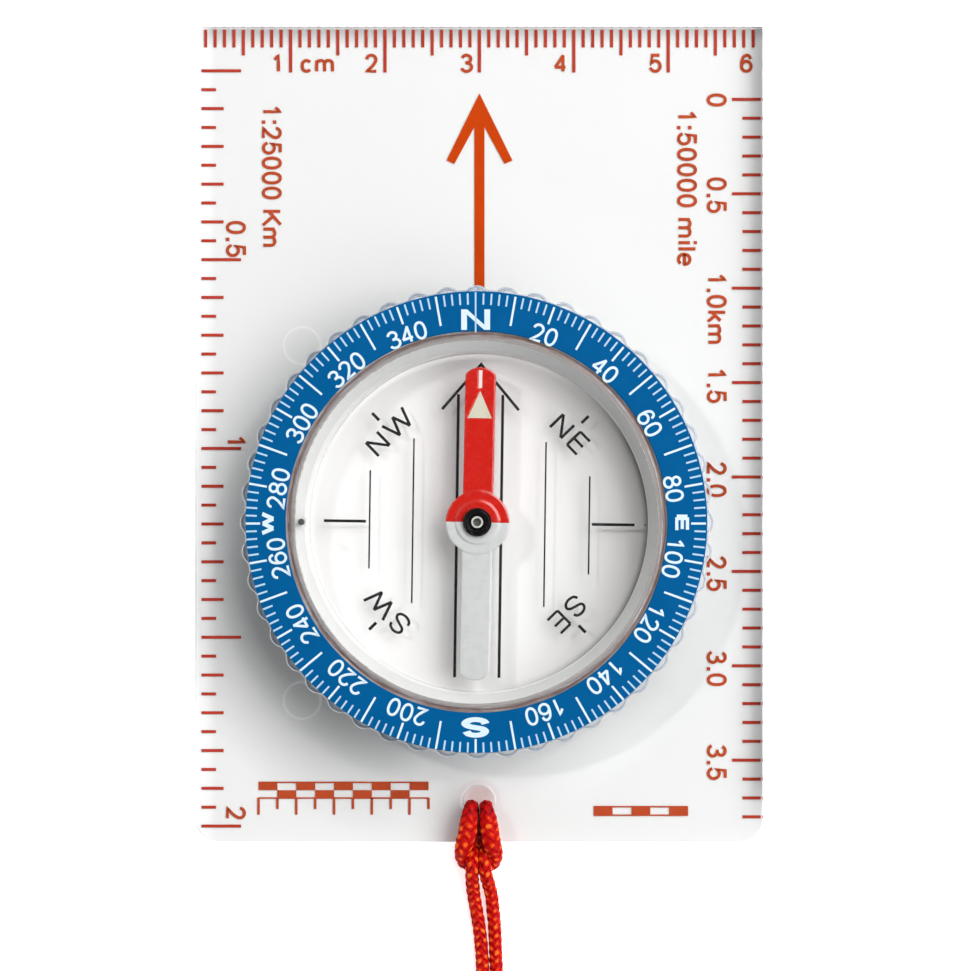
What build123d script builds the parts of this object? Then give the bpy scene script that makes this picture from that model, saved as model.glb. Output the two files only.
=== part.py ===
from build123d import *
import os

# Baseplate compass: a plate, a dial that turns in it, a sealed capsule with its needle, and a cord.
# Millimetres, +Z up, +Y along the direction-of-travel arrow, +X to the right.
# Origin: the dial axis, on the plane of the baseplate's underside.
# In the names, _r is a radius, _low and _top are heights, _x and _y are places.

os.makedirs("parts", exist_ok=True)

# ---------------------------------------------------------------- driving dimensions
# baseplate
plate_width = 60.0
plate_front = 52.4
plate_rear = -33.7
plate_thick = 2.5
rear_corner_r = 2.5
front_corner_r = 0.2
edge_round = 0.12             # round on the whole top outline
opening_r = 21.50             # opening the dial turns in
counterbore_r = 23.30         # underside counterbore for the retaining ring
counterbore_depth = 1.00
mark_r = 2.10                 # moulding marks on the underside, around the dial
mark_groove_w = 0.25
mark_centre_r = 1.10
mark_depth = 0.12
mark_offset = 18.8            # each mark's distance from the dial axis, along X and along Y
lanyard_hole_r = 1.70
lanyard_hole_y = -29.4
lanyard_hole_round = 0.35
relief_width = 3.10           # underside relief from the lanyard hole to the rear edge
relief_depth = 1.55
relief_overrun = 1.0          # how far the cut runs past the rear edge

# dial
bezel_inner_r = 19.95
bezel_base_r = 24.30          # between the grip scallops
scallop_count = 48
scallop_peak_r = 24.80
scallop_r = 1.46
scallop_valley_r = 0.45
bezel_low = 2.60              # underside of the bezel flange
bezel_top = 6.45
bezel_top_chamfer = 0.12
bezel_low_chamfer = 0.25
running_fit = 0.06
neck_r = opening_r - running_fit
neck_low = 0.15
neck_overlap = 0.2            # how far the neck reaches up into the flange
clip_groove_r = 20.90
clip_groove_low, clip_groove_top = 0.42, 0.98
retainer_play = 0.03          # above and below the retaining ring in its groove
retainer_inner_r = clip_groove_r + 0.06
retainer_outer_r = 23.00
retainer_low = clip_groove_low + retainer_play
retainer_top = clip_groove_top - retainer_play
retainer_gap = 3.0
retainer_corner_r = 0.4
friction_major_r = 22.80
friction_minor_r = 0.48
friction_clearance = 0.02     # between the plate and the friction ring
friction_groove_w = 1.20
friction_groove_top = 3.55
degree_ring_outer_r = 24.15
degree_ring_top = 6.90
degree_ring_round = 0.10

# capsule
capsule_r = 19.40
capsule_inner_r = 17.95
capsule_low = 0.40
capsule_chamfer = 0.3         # outside, round the bottom
floor_top = 1.60
floor_bevel = 0.35            # inside, between floor and wall
wall_top = 6.20
lens_top = 7.60
lens_round = 0.45
lens_spigot_r = capsule_inner_r - 0.05
lens_spigot_low = 5.90
plug_r = 0.33
plug_x = -18.25
plug_low = wall_top - 0.10
plug_top = lens_top - 0.05
plug_round = 0.08
notch_r = 0.5
notch_x = plug_x + 0.15
notch_low = 4.2
overcut = 4.0                 # cut height, more than enough to come out at the top
seal_low, seal_top = 0.90, 6.70
seal_dip_offset = 0.28        # outward from the capsule wall
seal_dip = 0.12

# pivot
seat_r = 0.90
seat_rim_height = 0.25
seat_top = 2.40
seat_top_width = 0.18         # flat round the pin
seat_spigot_r = 0.50
seat_spigot_low = 0.80
pin_r = 0.28
pin_tip_z = 4.42
pin_cone_height = 0.75
pin_point_r = 0.04
pin_point_height = 0.03

# needle, turned a little clockwise from the arrow at rest
needle_yaw = -1.24
needle_half_width = 1.60
north_tip = 16.30
south_tip = 16.60
tip_rise = 0.75               # from the shoulders to the tip of the rounded end
shoulder_r = 0.5
needle_low = 3.45
needle_top = 4.35
hub_r = 3.35
hub_rim_top = 4.40
hub_step_r = 2.28
hub_step_top = 4.50
magnet_half_width = 1.00
magnet_half_length = 13.50
magnet_top = 3.85
magnet_eye_r = 1.75           # the bar widens round the cup
cup_body_r = 1.10
cup_low = needle_low - 0.10
cup_body_top = 4.80
cup_neck_r = 0.63
cup_neck_top = 5.25
cup_neck_chamfer = 0.06
cup_bore_r = 0.75             # opens downward, holds the jewel
cup_socket_r = 0.42           # hollow in the top of the neck
cup_socket_mouth_r = 0.46
jewel_low, jewel_top = 4.00, 4.55
jewel_mouth_r = 0.50          # wide end of the jewel's hollow
jewel_end_r = 0.10
cap_r = 1.50
cap_top = 5.15
cap_round = 0.22
cap_dish = 0.10               # how far the top falls toward the neck
inlay_low, inlay_top = 4.23, 4.37
triangle_tip_y = 13.80
triangle_base_y = 10.95
triangle_half_width = 1.26
index_y = 15.05
index_width = 0.35
index_length = 1.86

# lanyard cord
cord_d = 1.40
cord_low = 0.05               # underside of the cord
cord_fit = 0.06               # between the hitch and the plate
hitch_half_narrow = 1.45
hitch_half_wide = 2.5
swing_y = -39.2               # where the cord bends freely behind the hitch
loop_start = -49.0            # where the two strands part into the loop
loop_end = -96.0
loop_half_width = 12.0


# ---------------------------------------------------------------- helpers
def save(part, name):
    """Labels a piece and writes its STEP file."""
    part.label = name
    export_step(part, f"parts/{name}.step")


def revolved(points):
    """Turns a closed outline of (radius, z) points about the dial axis."""
    with BuildPart() as turned:
        with BuildSketch(Plane.XZ):
            with BuildLine():
                Polyline(*points, close=True)
            make_face()
        revolve(axis=Axis.Z)
    return turned.part


# The draw_ functions add shapes to the sketch that is open where they are called.
def draw_ring(outer_r, inner_r):
    Circle(outer_r)
    Circle(inner_r, mode=Mode.SUBTRACT)


def draw_strip(width, front_y, rear_y):
    """A rectangle centred on the Y axis."""
    with Locations((0, (front_y + rear_y) / 2)):
        Rectangle(width, front_y - rear_y)


def draw_half_disc(radius, sign):
    """The half of a disc on the +Y side (sign 1) or the -Y side (sign -1)."""
    Circle(radius)
    with Locations((0, -sign * hub_r)):
        Rectangle(2 * hub_r + 1, 2 * hub_r, mode=Mode.SUBTRACT)


def draw_magnet():
    Rectangle(2 * magnet_half_width, 2 * magnet_half_length)
    Circle(magnet_eye_r)


def draw_triangle():
    Polygon(
        (0, triangle_tip_y),
        (-triangle_half_width, triangle_base_y),
        (triangle_half_width, triangle_base_y),
        align=None,
    )


def draw_index():
    with Locations((0, index_y)):
        Rectangle(index_width, index_length)


def needle_plane(z):
    """A level plane at height z, turned with the needle."""
    return Plane.XY.offset(z).rotated((0, 0, needle_yaw))


# ---------------------------------------------------------------- baseplate
with BuildPart() as baseplate:
    with BuildSketch(Plane.XY):
        draw_strip(plate_width, plate_front, plate_rear)
        corners = vertices().sort_by(Axis.Y)
        fillet(corners[:2], rear_corner_r)
        fillet(vertices().sort_by(Axis.Y)[-2:], front_corner_r)
    extrude(amount=plate_thick)
    # rounded top edge; the underside's edge stays sharp for reading the scales
    top_outline = edges().filter_by(lambda e: e.center().Z > plate_thick - 0.001)
    fillet(top_outline, edge_round)
    # opening for the dial, counterbored from below for the retaining ring
    with BuildSketch(Plane.XY):
        Circle(opening_r)
    extrude(amount=plate_thick, mode=Mode.SUBTRACT)
    with BuildSketch(Plane.XY):
        Circle(counterbore_r)
    extrude(amount=counterbore_depth, mode=Mode.SUBTRACT)
    # moulding marks, each a ring groove round a shallow disc
    with BuildSketch(Plane.XY):
        with GridLocations(2 * mark_offset, 2 * mark_offset, 2, 2):
            draw_ring(mark_r, mark_r - mark_groove_w)
            Circle(mark_centre_r)
    extrude(amount=mark_depth, mode=Mode.SUBTRACT)
    # lanyard hole, rounded at the top, and its relief on the underside
    with BuildSketch(Plane.XY):
        with Locations((0, lanyard_hole_y)):
            Circle(lanyard_hole_r)
    extrude(amount=plate_thick, mode=Mode.SUBTRACT)
    hole_rim = edges().filter_by(GeomType.CIRCLE).filter_by(
        lambda e: abs(e.radius - lanyard_hole_r) < 1e-4 and abs(e.center().Z - plate_thick) < 1e-3
    )
    fillet(hole_rim, lanyard_hole_round)
    with BuildSketch(Plane.XY):
        draw_strip(relief_width, lanyard_hole_y, plate_rear - relief_overrun)
    extrude(amount=relief_depth, mode=Mode.SUBTRACT)
save(baseplate.part, "baseplate")

# ---------------------------------------------------------------- dial
with BuildPart() as dial_bezel:
    # scalloped flange
    with BuildSketch(Plane.XY.offset(bezel_low)):
        Circle(bezel_base_r)
        with PolarLocations(scallop_peak_r - scallop_r, scallop_count, start_angle=90):
            Circle(scallop_r)
        valleys = vertices()
        fillet(valleys, scallop_valley_r)
        Circle(bezel_inner_r, mode=Mode.SUBTRACT)
    extrude(amount=bezel_top - bezel_low)
    top_rim = faces().filter_by(Axis.Z).sort_by(Axis.Z)[-1].outer_wire().edges()
    chamfer(top_rim, bezel_top_chamfer)
    under_rim = faces().filter_by(Axis.Z).sort_by(Axis.Z)[0].outer_wire().edges()
    chamfer(under_rim, bezel_low_chamfer)
    # neck that turns in the plate opening
    with BuildSketch(Plane.XY.offset(neck_low)):
        draw_ring(neck_r, bezel_inner_r)
    extrude(amount=bezel_low - neck_low + neck_overlap)
    # clip groove for the retaining ring
    with BuildSketch(Plane.XY.offset(clip_groove_low)):
        draw_ring(neck_r + 1, clip_groove_r)
    extrude(amount=clip_groove_top - clip_groove_low, mode=Mode.SUBTRACT)
    # groove for the friction ring, cut from just below the flange
    groove_start = bezel_low - 0.05
    with BuildSketch(Plane.XY.offset(groove_start)):
        draw_ring(friction_major_r + friction_groove_w / 2, friction_major_r - friction_groove_w / 2)
    extrude(amount=friction_groove_top - groove_start, mode=Mode.SUBTRACT)
save(dial_bezel.part, "dial_bezel")

with BuildPart() as degree_ring:
    with BuildSketch(Plane.XY.offset(bezel_top)):
        draw_ring(degree_ring_outer_r, bezel_inner_r)
    extrude(amount=degree_ring_top - bezel_top)
    top_edges = edges().filter_by(GeomType.CIRCLE).group_by(Axis.Z)[-1]
    fillet(top_edges, degree_ring_round)
save(degree_ring.part, "degree_ring")

# Split ring, with its gap to the rear and the gap's corners rounded
with BuildPart() as retaining_ring:
    with BuildSketch(Plane.XY.offset(retainer_low)):
        draw_ring(retainer_outer_r, retainer_inner_r)
        with Locations((0, -retainer_outer_r + 1)):
            Rectangle(retainer_gap, 4, mode=Mode.SUBTRACT)
    extrude(amount=retainer_top - retainer_low)
    fillet(edges().filter_by(Axis.Z), retainer_corner_r)
save(retaining_ring.part, "retaining_ring")

# Round-section ring resting just clear of the plate
with BuildPart() as friction_ring:
    with BuildSketch(Plane.XZ):
        with Locations((friction_major_r, plate_thick + friction_clearance + friction_minor_r)):
            Circle(friction_minor_r)
    revolve(axis=Axis.Z)
save(friction_ring.part, "friction_ring")

# Sleeve between capsule and bezel, its top face dipping to a shallow V
capsule_seal = revolved([
    (capsule_r, seal_low),
    (bezel_inner_r, seal_low),
    (bezel_inner_r, seal_top),
    (capsule_r + seal_dip_offset, seal_top - seal_dip),
    (capsule_r, seal_top),
])
save(capsule_seal, "capsule_seal")

# ---------------------------------------------------------------- capsule
with BuildPart() as capsule_base:
    with BuildSketch(Plane.XZ):
        with BuildLine():
            Polyline(
                (0, capsule_low),
                (capsule_r - capsule_chamfer, capsule_low),
                (capsule_r, capsule_low + capsule_chamfer),
                (capsule_r, wall_top),
                (capsule_inner_r, wall_top),
                (capsule_inner_r, floor_top + floor_bevel),
                (capsule_inner_r - floor_bevel, floor_top),
                (0, floor_top),
                close=True,
            )
        make_face()
    revolve(axis=Axis.Z)
    # blind seat for the pivot
    with BuildSketch(Plane.XY.offset(seat_spigot_low)):
        Circle(seat_spigot_r)
    extrude(amount=floor_top, mode=Mode.SUBTRACT)
    # filling notch below the plug
    with BuildSketch(Plane.XY.offset(notch_low)):
        with Locations((notch_x, 0)):
            Circle(notch_r)
    extrude(amount=overcut, mode=Mode.SUBTRACT)
save(capsule_base.part, "capsule_base")

with BuildPart() as capsule_lens:
    with BuildSketch(Plane.XZ):
        with BuildLine():
            round_start = (capsule_r, lens_top - lens_round)
            round_end = (capsule_r - lens_round, lens_top)
            Polyline(
                (0, lens_spigot_low),
                (lens_spigot_r, lens_spigot_low),
                (lens_spigot_r, wall_top),
                (capsule_r, wall_top),
                round_start,
            )
            RadiusArc(round_start, round_end, -lens_round)
            Polyline(round_end, (0, lens_top), (0, lens_spigot_low))
        make_face()
    revolve(axis=Axis.Z)
    # filling hole
    with BuildSketch(Plane.XY.offset(lens_spigot_low - 0.5)):
        with Locations((plug_x, 0)):
            Circle(plug_r)
    extrude(amount=overcut, mode=Mode.SUBTRACT)
save(capsule_lens.part, "capsule_lens")

with BuildPart() as fill_plug:
    with BuildSketch(Plane.XY.offset(plug_low)):
        with Locations((plug_x, 0)):
            Circle(plug_r)
    extrude(amount=plug_top - plug_low)
    fillet(edges().filter_by(GeomType.CIRCLE).group_by(Axis.Z)[-1], plug_round)
save(fill_plug.part, "fill_plug")

# ---------------------------------------------------------------- pivot
pivot_seat = revolved([
    (pin_r, seat_spigot_low),
    (seat_spigot_r, seat_spigot_low),
    (seat_spigot_r, floor_top),
    (seat_r, floor_top),
    (seat_r, floor_top + seat_rim_height),
    (pin_r + seat_top_width, seat_top),
    (pin_r, seat_top),
])
save(pivot_seat, "pivot_seat")

pivot_pin = revolved([
    (0, seat_spigot_low),
    (pin_r, seat_spigot_low),
    (pin_r, pin_tip_z - pin_cone_height),
    (pin_point_r, pin_tip_z - pin_point_height),
    (0, pin_tip_z),
])
save(pivot_pin, "pivot_pin")


# ---------------------------------------------------------------- needle
def needle_half(sign, tip):
    """Builds one half of the needle: a bar with a shallow rounded end and half of the stepped hub."""
    half_width = needle_half_width
    shoulder_y = sign * (tip - tip_rise)
    with BuildPart() as half:
        with BuildSketch(needle_plane(needle_low)):
            with BuildLine():
                Polyline((-half_width, 0), (-half_width, shoulder_y))
                ThreePointArc((-half_width, shoulder_y), (0, sign * tip), (half_width, shoulder_y))
                Polyline((half_width, shoulder_y), (half_width, 0), (-half_width, 0))
            make_face()
            shoulders = vertices().filter_by(lambda v: abs(v.X) > 0.5 and abs(v.Y) > 5)
            fillet(shoulders, shoulder_r)
        extrude(amount=needle_top - needle_low)
        # stepped hub
        for step_r, step_top in ((hub_r, hub_rim_top), (hub_step_r, hub_step_top)):
            with BuildSketch(needle_plane(needle_low)):
                draw_half_disc(step_r, sign)
            extrude(amount=step_top - needle_low)
        # pocket for the magnet
        with BuildSketch(needle_plane(needle_low)):
            draw_magnet()
        extrude(amount=magnet_top - needle_low, mode=Mode.SUBTRACT)
        # through hole for the cup
        with BuildSketch(needle_plane(needle_low - 0.2)):
            Circle(cup_body_r)
        extrude(amount=2, mode=Mode.SUBTRACT)
    return half.part


# Luminous triangle and index line, in shallow pockets near the north tip
inlays = (("lume_triangle", draw_triangle), ("north_index", draw_index))

with BuildPart() as needle_north:
    add(needle_half(1, north_tip))
    for _, draw_inlay in inlays:
        with BuildSketch(needle_plane(inlay_low)):
            draw_inlay()
        extrude(amount=1, mode=Mode.SUBTRACT)
save(needle_north.part, "needle_north")

with BuildPart() as needle_south:
    add(needle_half(-1, south_tip))
save(needle_south.part, "needle_south")

with BuildPart() as needle_magnet:
    with BuildSketch(needle_plane(needle_low)):
        draw_magnet()
        Circle(cup_body_r, mode=Mode.SUBTRACT)
    extrude(amount=magnet_top - needle_low)
save(needle_magnet.part, "needle_magnet")

for inlay_name, draw_inlay in inlays:
    with BuildPart() as inlay:
        with BuildSketch(needle_plane(inlay_low)):
            draw_inlay()
        extrude(amount=inlay_top - inlay_low)
    save(inlay.part, inlay_name)

# Cup through the hub, with the jewel in its bore and a hollow in its neck
jewel_cup = revolved([
    (cup_bore_r, cup_low),
    (cup_body_r, cup_low),
    (cup_body_r, cup_body_top),
    (cup_neck_r, cup_body_top),
    (cup_neck_r, cup_neck_top - cup_neck_chamfer),
    (cup_neck_r - cup_neck_chamfer, cup_neck_top),
    (cup_socket_mouth_r, cup_neck_top),
    (cup_socket_r, cup_neck_top - cup_neck_chamfer),
    (cup_socket_r, jewel_top + 0.30),
    (0, jewel_top + 0.25),
    (0, jewel_top),
    (cup_bore_r, jewel_top),
])
save(jewel_cup, "jewel_cup")

# Jewel, hollowed from below to run on the pin's tip
jewel_bearing = revolved([
    (jewel_mouth_r, jewel_low),
    (cup_bore_r, jewel_low),
    (cup_bore_r, jewel_top),
    (0, jewel_top),
    (0, pin_tip_z + 0.03),
    (jewel_end_r, pin_tip_z - 0.02),
])
save(jewel_bearing, "jewel_bearing")

# Cap over the hub, round the cup's neck
with BuildPart() as hub_cap:
    with BuildSketch(Plane.XZ):
        with BuildLine():
            round_start = (cap_r, cap_top - cap_round)
            round_end = (cap_r - cap_round, cap_top)
            Polyline((cup_body_r, hub_step_top), (cap_r, hub_step_top), round_start)
            RadiusArc(round_start, round_end, -cap_round)
            Polyline(
                round_end,
                (cup_neck_r, cap_top - cap_dish),
                (cup_neck_r, cup_body_top),
                (cup_body_r, cup_body_top),
                (cup_body_r, hub_step_top),
            )
        make_face()
    revolve(axis=Axis.Z)
save(hub_cap.part, "hub_cap")

# ---------------------------------------------------------------- lanyard
# The cord is tied to the plate with a cow hitch. It is built as the tight hitch on the
# plate and the free loop behind it.
with BuildPart() as lanyard_hitch:
    # pair of strands in the underside relief
    with BuildSketch(Plane.XY.offset(cord_low)):
        draw_strip(2 * cord_d, lanyard_hole_y - 0.45, plate_rear - 1.0)
    extrude(amount=cord_d)
    # pair of strands up through the rear part of the hole
    with BuildSketch(Plane.XY.offset(cord_low)):
        with Locations((0, lanyard_hole_y)):
            Circle(lanyard_hole_r - cord_fit)
        with Locations((0, lanyard_hole_y + 1.0)):
            Rectangle(4, 2.5, mode=Mode.SUBTRACT)
    extrude(amount=plate_thick + cord_d)
    # over the top of the plate and past the rear edge, widening rearward
    with BuildSketch(Plane.XY.offset(plate_thick + cord_low)):
        with BuildLine():
            Polyline(
                (-hitch_half_narrow, lanyard_hole_y - 0.1),
                (hitch_half_narrow, lanyard_hole_y - 0.1),
                (hitch_half_wide, plate_rear - 1.4),
                (-hitch_half_wide, plate_rear - 1.4),
                close=True,
            )
        make_face()
    extrude(amount=cord_d)
    # knot behind the rear edge, narrowing rearward
    with BuildSketch(Plane.XY.offset(cord_low)):
        with BuildLine():
            Polyline(
                (-hitch_half_wide, plate_rear - cord_fit),
                (hitch_half_wide, plate_rear - cord_fit),
                (hitch_half_wide, plate_rear - 1.6),
                (hitch_half_narrow, plate_rear - 3.4),
                (-hitch_half_narrow, plate_rear - 3.4),
                (-hitch_half_wide, plate_rear - 1.6),
                close=True,
            )
        make_face()
    extrude(amount=plate_thick + 0.6)
save(lanyard_hitch.part, "lanyard_hitch")

loop_half_length = (loop_start - loop_end) / 2
with BuildPart() as lanyard_loop:
    # the two strands side by side, with a round end at the bend, running into the loop
    with BuildSketch(Plane.XY.offset(cord_low)):
        with Locations((0, swing_y)):
            Circle(cord_d)
        draw_strip(2 * cord_d, swing_y, loop_start - 1.0)
    extrude(amount=cord_d)
    # the open loop
    with BuildSketch(Plane.XY.offset(cord_low)):
        with Locations((0, (loop_start + loop_end) / 2)):
            Ellipse(loop_half_width, loop_half_length)
            Ellipse(loop_half_width - cord_d, loop_half_length - cord_d, mode=Mode.SUBTRACT)
    extrude(amount=cord_d)
save(lanyard_loop.part, "lanyard_loop")
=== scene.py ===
import math
import bpy
import bmesh
import numpy as np
from mathutils import Vector, Matrix


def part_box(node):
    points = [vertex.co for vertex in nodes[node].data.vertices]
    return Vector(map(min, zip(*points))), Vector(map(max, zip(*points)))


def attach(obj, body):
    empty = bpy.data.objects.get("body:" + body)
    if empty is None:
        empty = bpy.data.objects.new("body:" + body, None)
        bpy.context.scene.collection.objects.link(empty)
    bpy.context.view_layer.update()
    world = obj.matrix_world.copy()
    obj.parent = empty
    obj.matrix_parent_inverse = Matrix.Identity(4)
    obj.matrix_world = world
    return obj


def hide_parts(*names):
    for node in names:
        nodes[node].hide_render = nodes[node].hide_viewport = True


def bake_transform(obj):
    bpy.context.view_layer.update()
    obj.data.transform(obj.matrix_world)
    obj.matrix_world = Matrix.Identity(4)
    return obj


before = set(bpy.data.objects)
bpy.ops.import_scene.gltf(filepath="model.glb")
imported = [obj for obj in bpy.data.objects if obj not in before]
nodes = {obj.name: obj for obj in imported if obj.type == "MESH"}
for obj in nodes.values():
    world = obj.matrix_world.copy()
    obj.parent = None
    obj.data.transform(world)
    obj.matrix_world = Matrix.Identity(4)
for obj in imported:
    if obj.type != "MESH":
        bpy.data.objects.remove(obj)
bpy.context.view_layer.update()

MM = 0.001
scene = bpy.context.scene


def lin(r, g, b):
    def f(c):
        c /= 255.0
        return c / 12.92 if c <= 0.04045 else ((c + 0.055) / 1.055) ** 2.4
    return (f(r), f(g), f(b), 1.0)


# ------------------------------------------------------------------ node helpers
class Mat:
    def __init__(self, name):
        self.m = bpy.data.materials.new(name)
        self.m.use_nodes = True
        self.nt = self.m.node_tree
        self.nt.nodes.clear()
        self.out = self.nt.nodes.new("ShaderNodeOutputMaterial")

    def node(self, kind, **kw):
        n = self.nt.nodes.new(kind)
        ins = kw.pop("ins", {})
        for k, v in kw.items():
            setattr(n, k, v)
        for k, v in ins.items():
            s = n.inputs[k]
            if isinstance(v, bpy.types.NodeSocket):
                self.nt.links.new(v, s)
            else:
                s.default_value = v
        return n

    def link(self, a, b):
        self.nt.links.new(a, b)

    def coords(self, scale=1.0, stretch=None):
        tc = self.node("ShaderNodeTexCoord")
        mp = self.node("ShaderNodeMapping", ins={"Vector": tc.outputs["Object"]})
        s = stretch or (1, 1, 1)
        mp.inputs["Scale"].default_value = (scale * s[0], scale * s[1], scale * s[2])
        return mp.outputs["Vector"]

    def noise(self, vec, scale, detail=3.0, rough=0.5):
        return self.node("ShaderNodeTexNoise", ins={"Vector": vec, "Scale": scale, "Detail": detail, "Roughness": rough})

    def ramp(self, fac, stops):
        r = self.node("ShaderNodeValToRGB", ins={"Fac": fac})
        els = r.color_ramp.elements
        while len(els) > 1:
            els.remove(els[-1])
        for i, (p, c) in enumerate(stops):
            e = els[0] if i == 0 else els.new(p)
            e.position = p
            e.color = c if len(c) == 4 else (*c, 1.0)
        return r.outputs["Color"]

    def range(self, fac, a, b, lo=0.0, hi=1.0):
        r = self.node("ShaderNodeMapRange", ins={"Value": fac, "From Min": lo, "From Max": hi, "To Min": a, "To Max": b})
        return r.outputs["Result"]

    def bump(self, height, strength, distance, normal=None):
        b = self.node("ShaderNodeBump", ins={"Height": height, "Strength": strength, "Distance": distance})
        if normal is not None:
            self.link(normal, b.inputs["Normal"])
        return b.outputs["Normal"]

    def mixc(self, fac, a, b, blend="MIX"):
        n = self.node("ShaderNodeMix", data_type="RGBA", blend_type=blend)
        for s, v in ((n.inputs[0], fac), (n.inputs[6], a), (n.inputs[7], b)):
            if isinstance(v, bpy.types.NodeSocket):
                self.link(v, s)
            else:
                s.default_value = v
        return n.outputs[2]

    def math(self, op, a, b=None):
        n = self.node("ShaderNodeMath", operation=op)
        for s, v in ((n.inputs[0], a), (n.inputs[1], b)):
            if v is None:
                continue
            if isinstance(v, bpy.types.NodeSocket):
                self.link(v, s)
            else:
                s.default_value = v
        return n.outputs[0]


def solid(name, base, rough=(0.3, 0.4), vary=0.06, scale=900.0, bump=0.08, bump_mm=0.01, coat=0.0, metallic=0.0,
          speck=None, stretch=None, sheen=0.0, spec=0.5, sss=0.0, edge=0.0, coat_ior=1.5, coat_rough=0.08):
    """Opaque moulded, turned or printed surface with mottled colour, uneven roughness and a fine grain."""
    m = Mat(name)
    v = m.coords(1.0, stretch)
    n1 = m.noise(v, scale, 4.0, 0.6)
    n2 = m.noise(v, scale * 0.12, 2.0, 0.5)
    dark = tuple(c * (1 - vary) for c in base[:3]) + (1.0,)
    light = tuple(min(1.0, c * (1 + vary) + vary * 0.01) for c in base[:3]) + (1.0,)
    col = m.ramp(n2.outputs["Fac"], [(0.3, dark), (0.7, light)])
    if speck is not None:
        n3 = m.noise(v, scale * 2.2, 2.0, 0.7)
        f = m.range(n3.outputs["Fac"], 0.0, 1.0, 0.66, 0.74)
        col = m.mixc(f, col, speck)
    r = m.range(n1.outputs["Fac"], rough[0], rough[1], 0.3, 0.7)
    soft = m.node("ShaderNodeBevel", samples=8, ins={"Radius": edge * MM}).outputs["Normal"] if edge else None
    nb = m.bump(n1.outputs["Fac"], bump, bump_mm * MM, soft)
    p = m.node("ShaderNodeBsdfPrincipled", ins={"Base Color": col, "Roughness": r, "Normal": nb, "Metallic": metallic,
                                                "Specular IOR Level": spec})
    if coat:
        p.inputs["Coat Weight"].default_value = coat
        p.inputs["Coat Roughness"].default_value = coat_rough
        p.inputs["Coat IOR"].default_value = coat_ior
        if soft is not None:
            m.link(soft, p.inputs["Coat Normal"])
    if sheen:
        p.inputs["Sheen Weight"].default_value = sheen
    if sss:
        p.inputs["Subsurface Weight"].default_value = sss
        p.inputs["Subsurface Radius"].default_value = (0.0006, 0.0004, 0.0003)
    m.link(p.outputs[0], m.out.inputs["Surface"])
    return m.m


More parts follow.
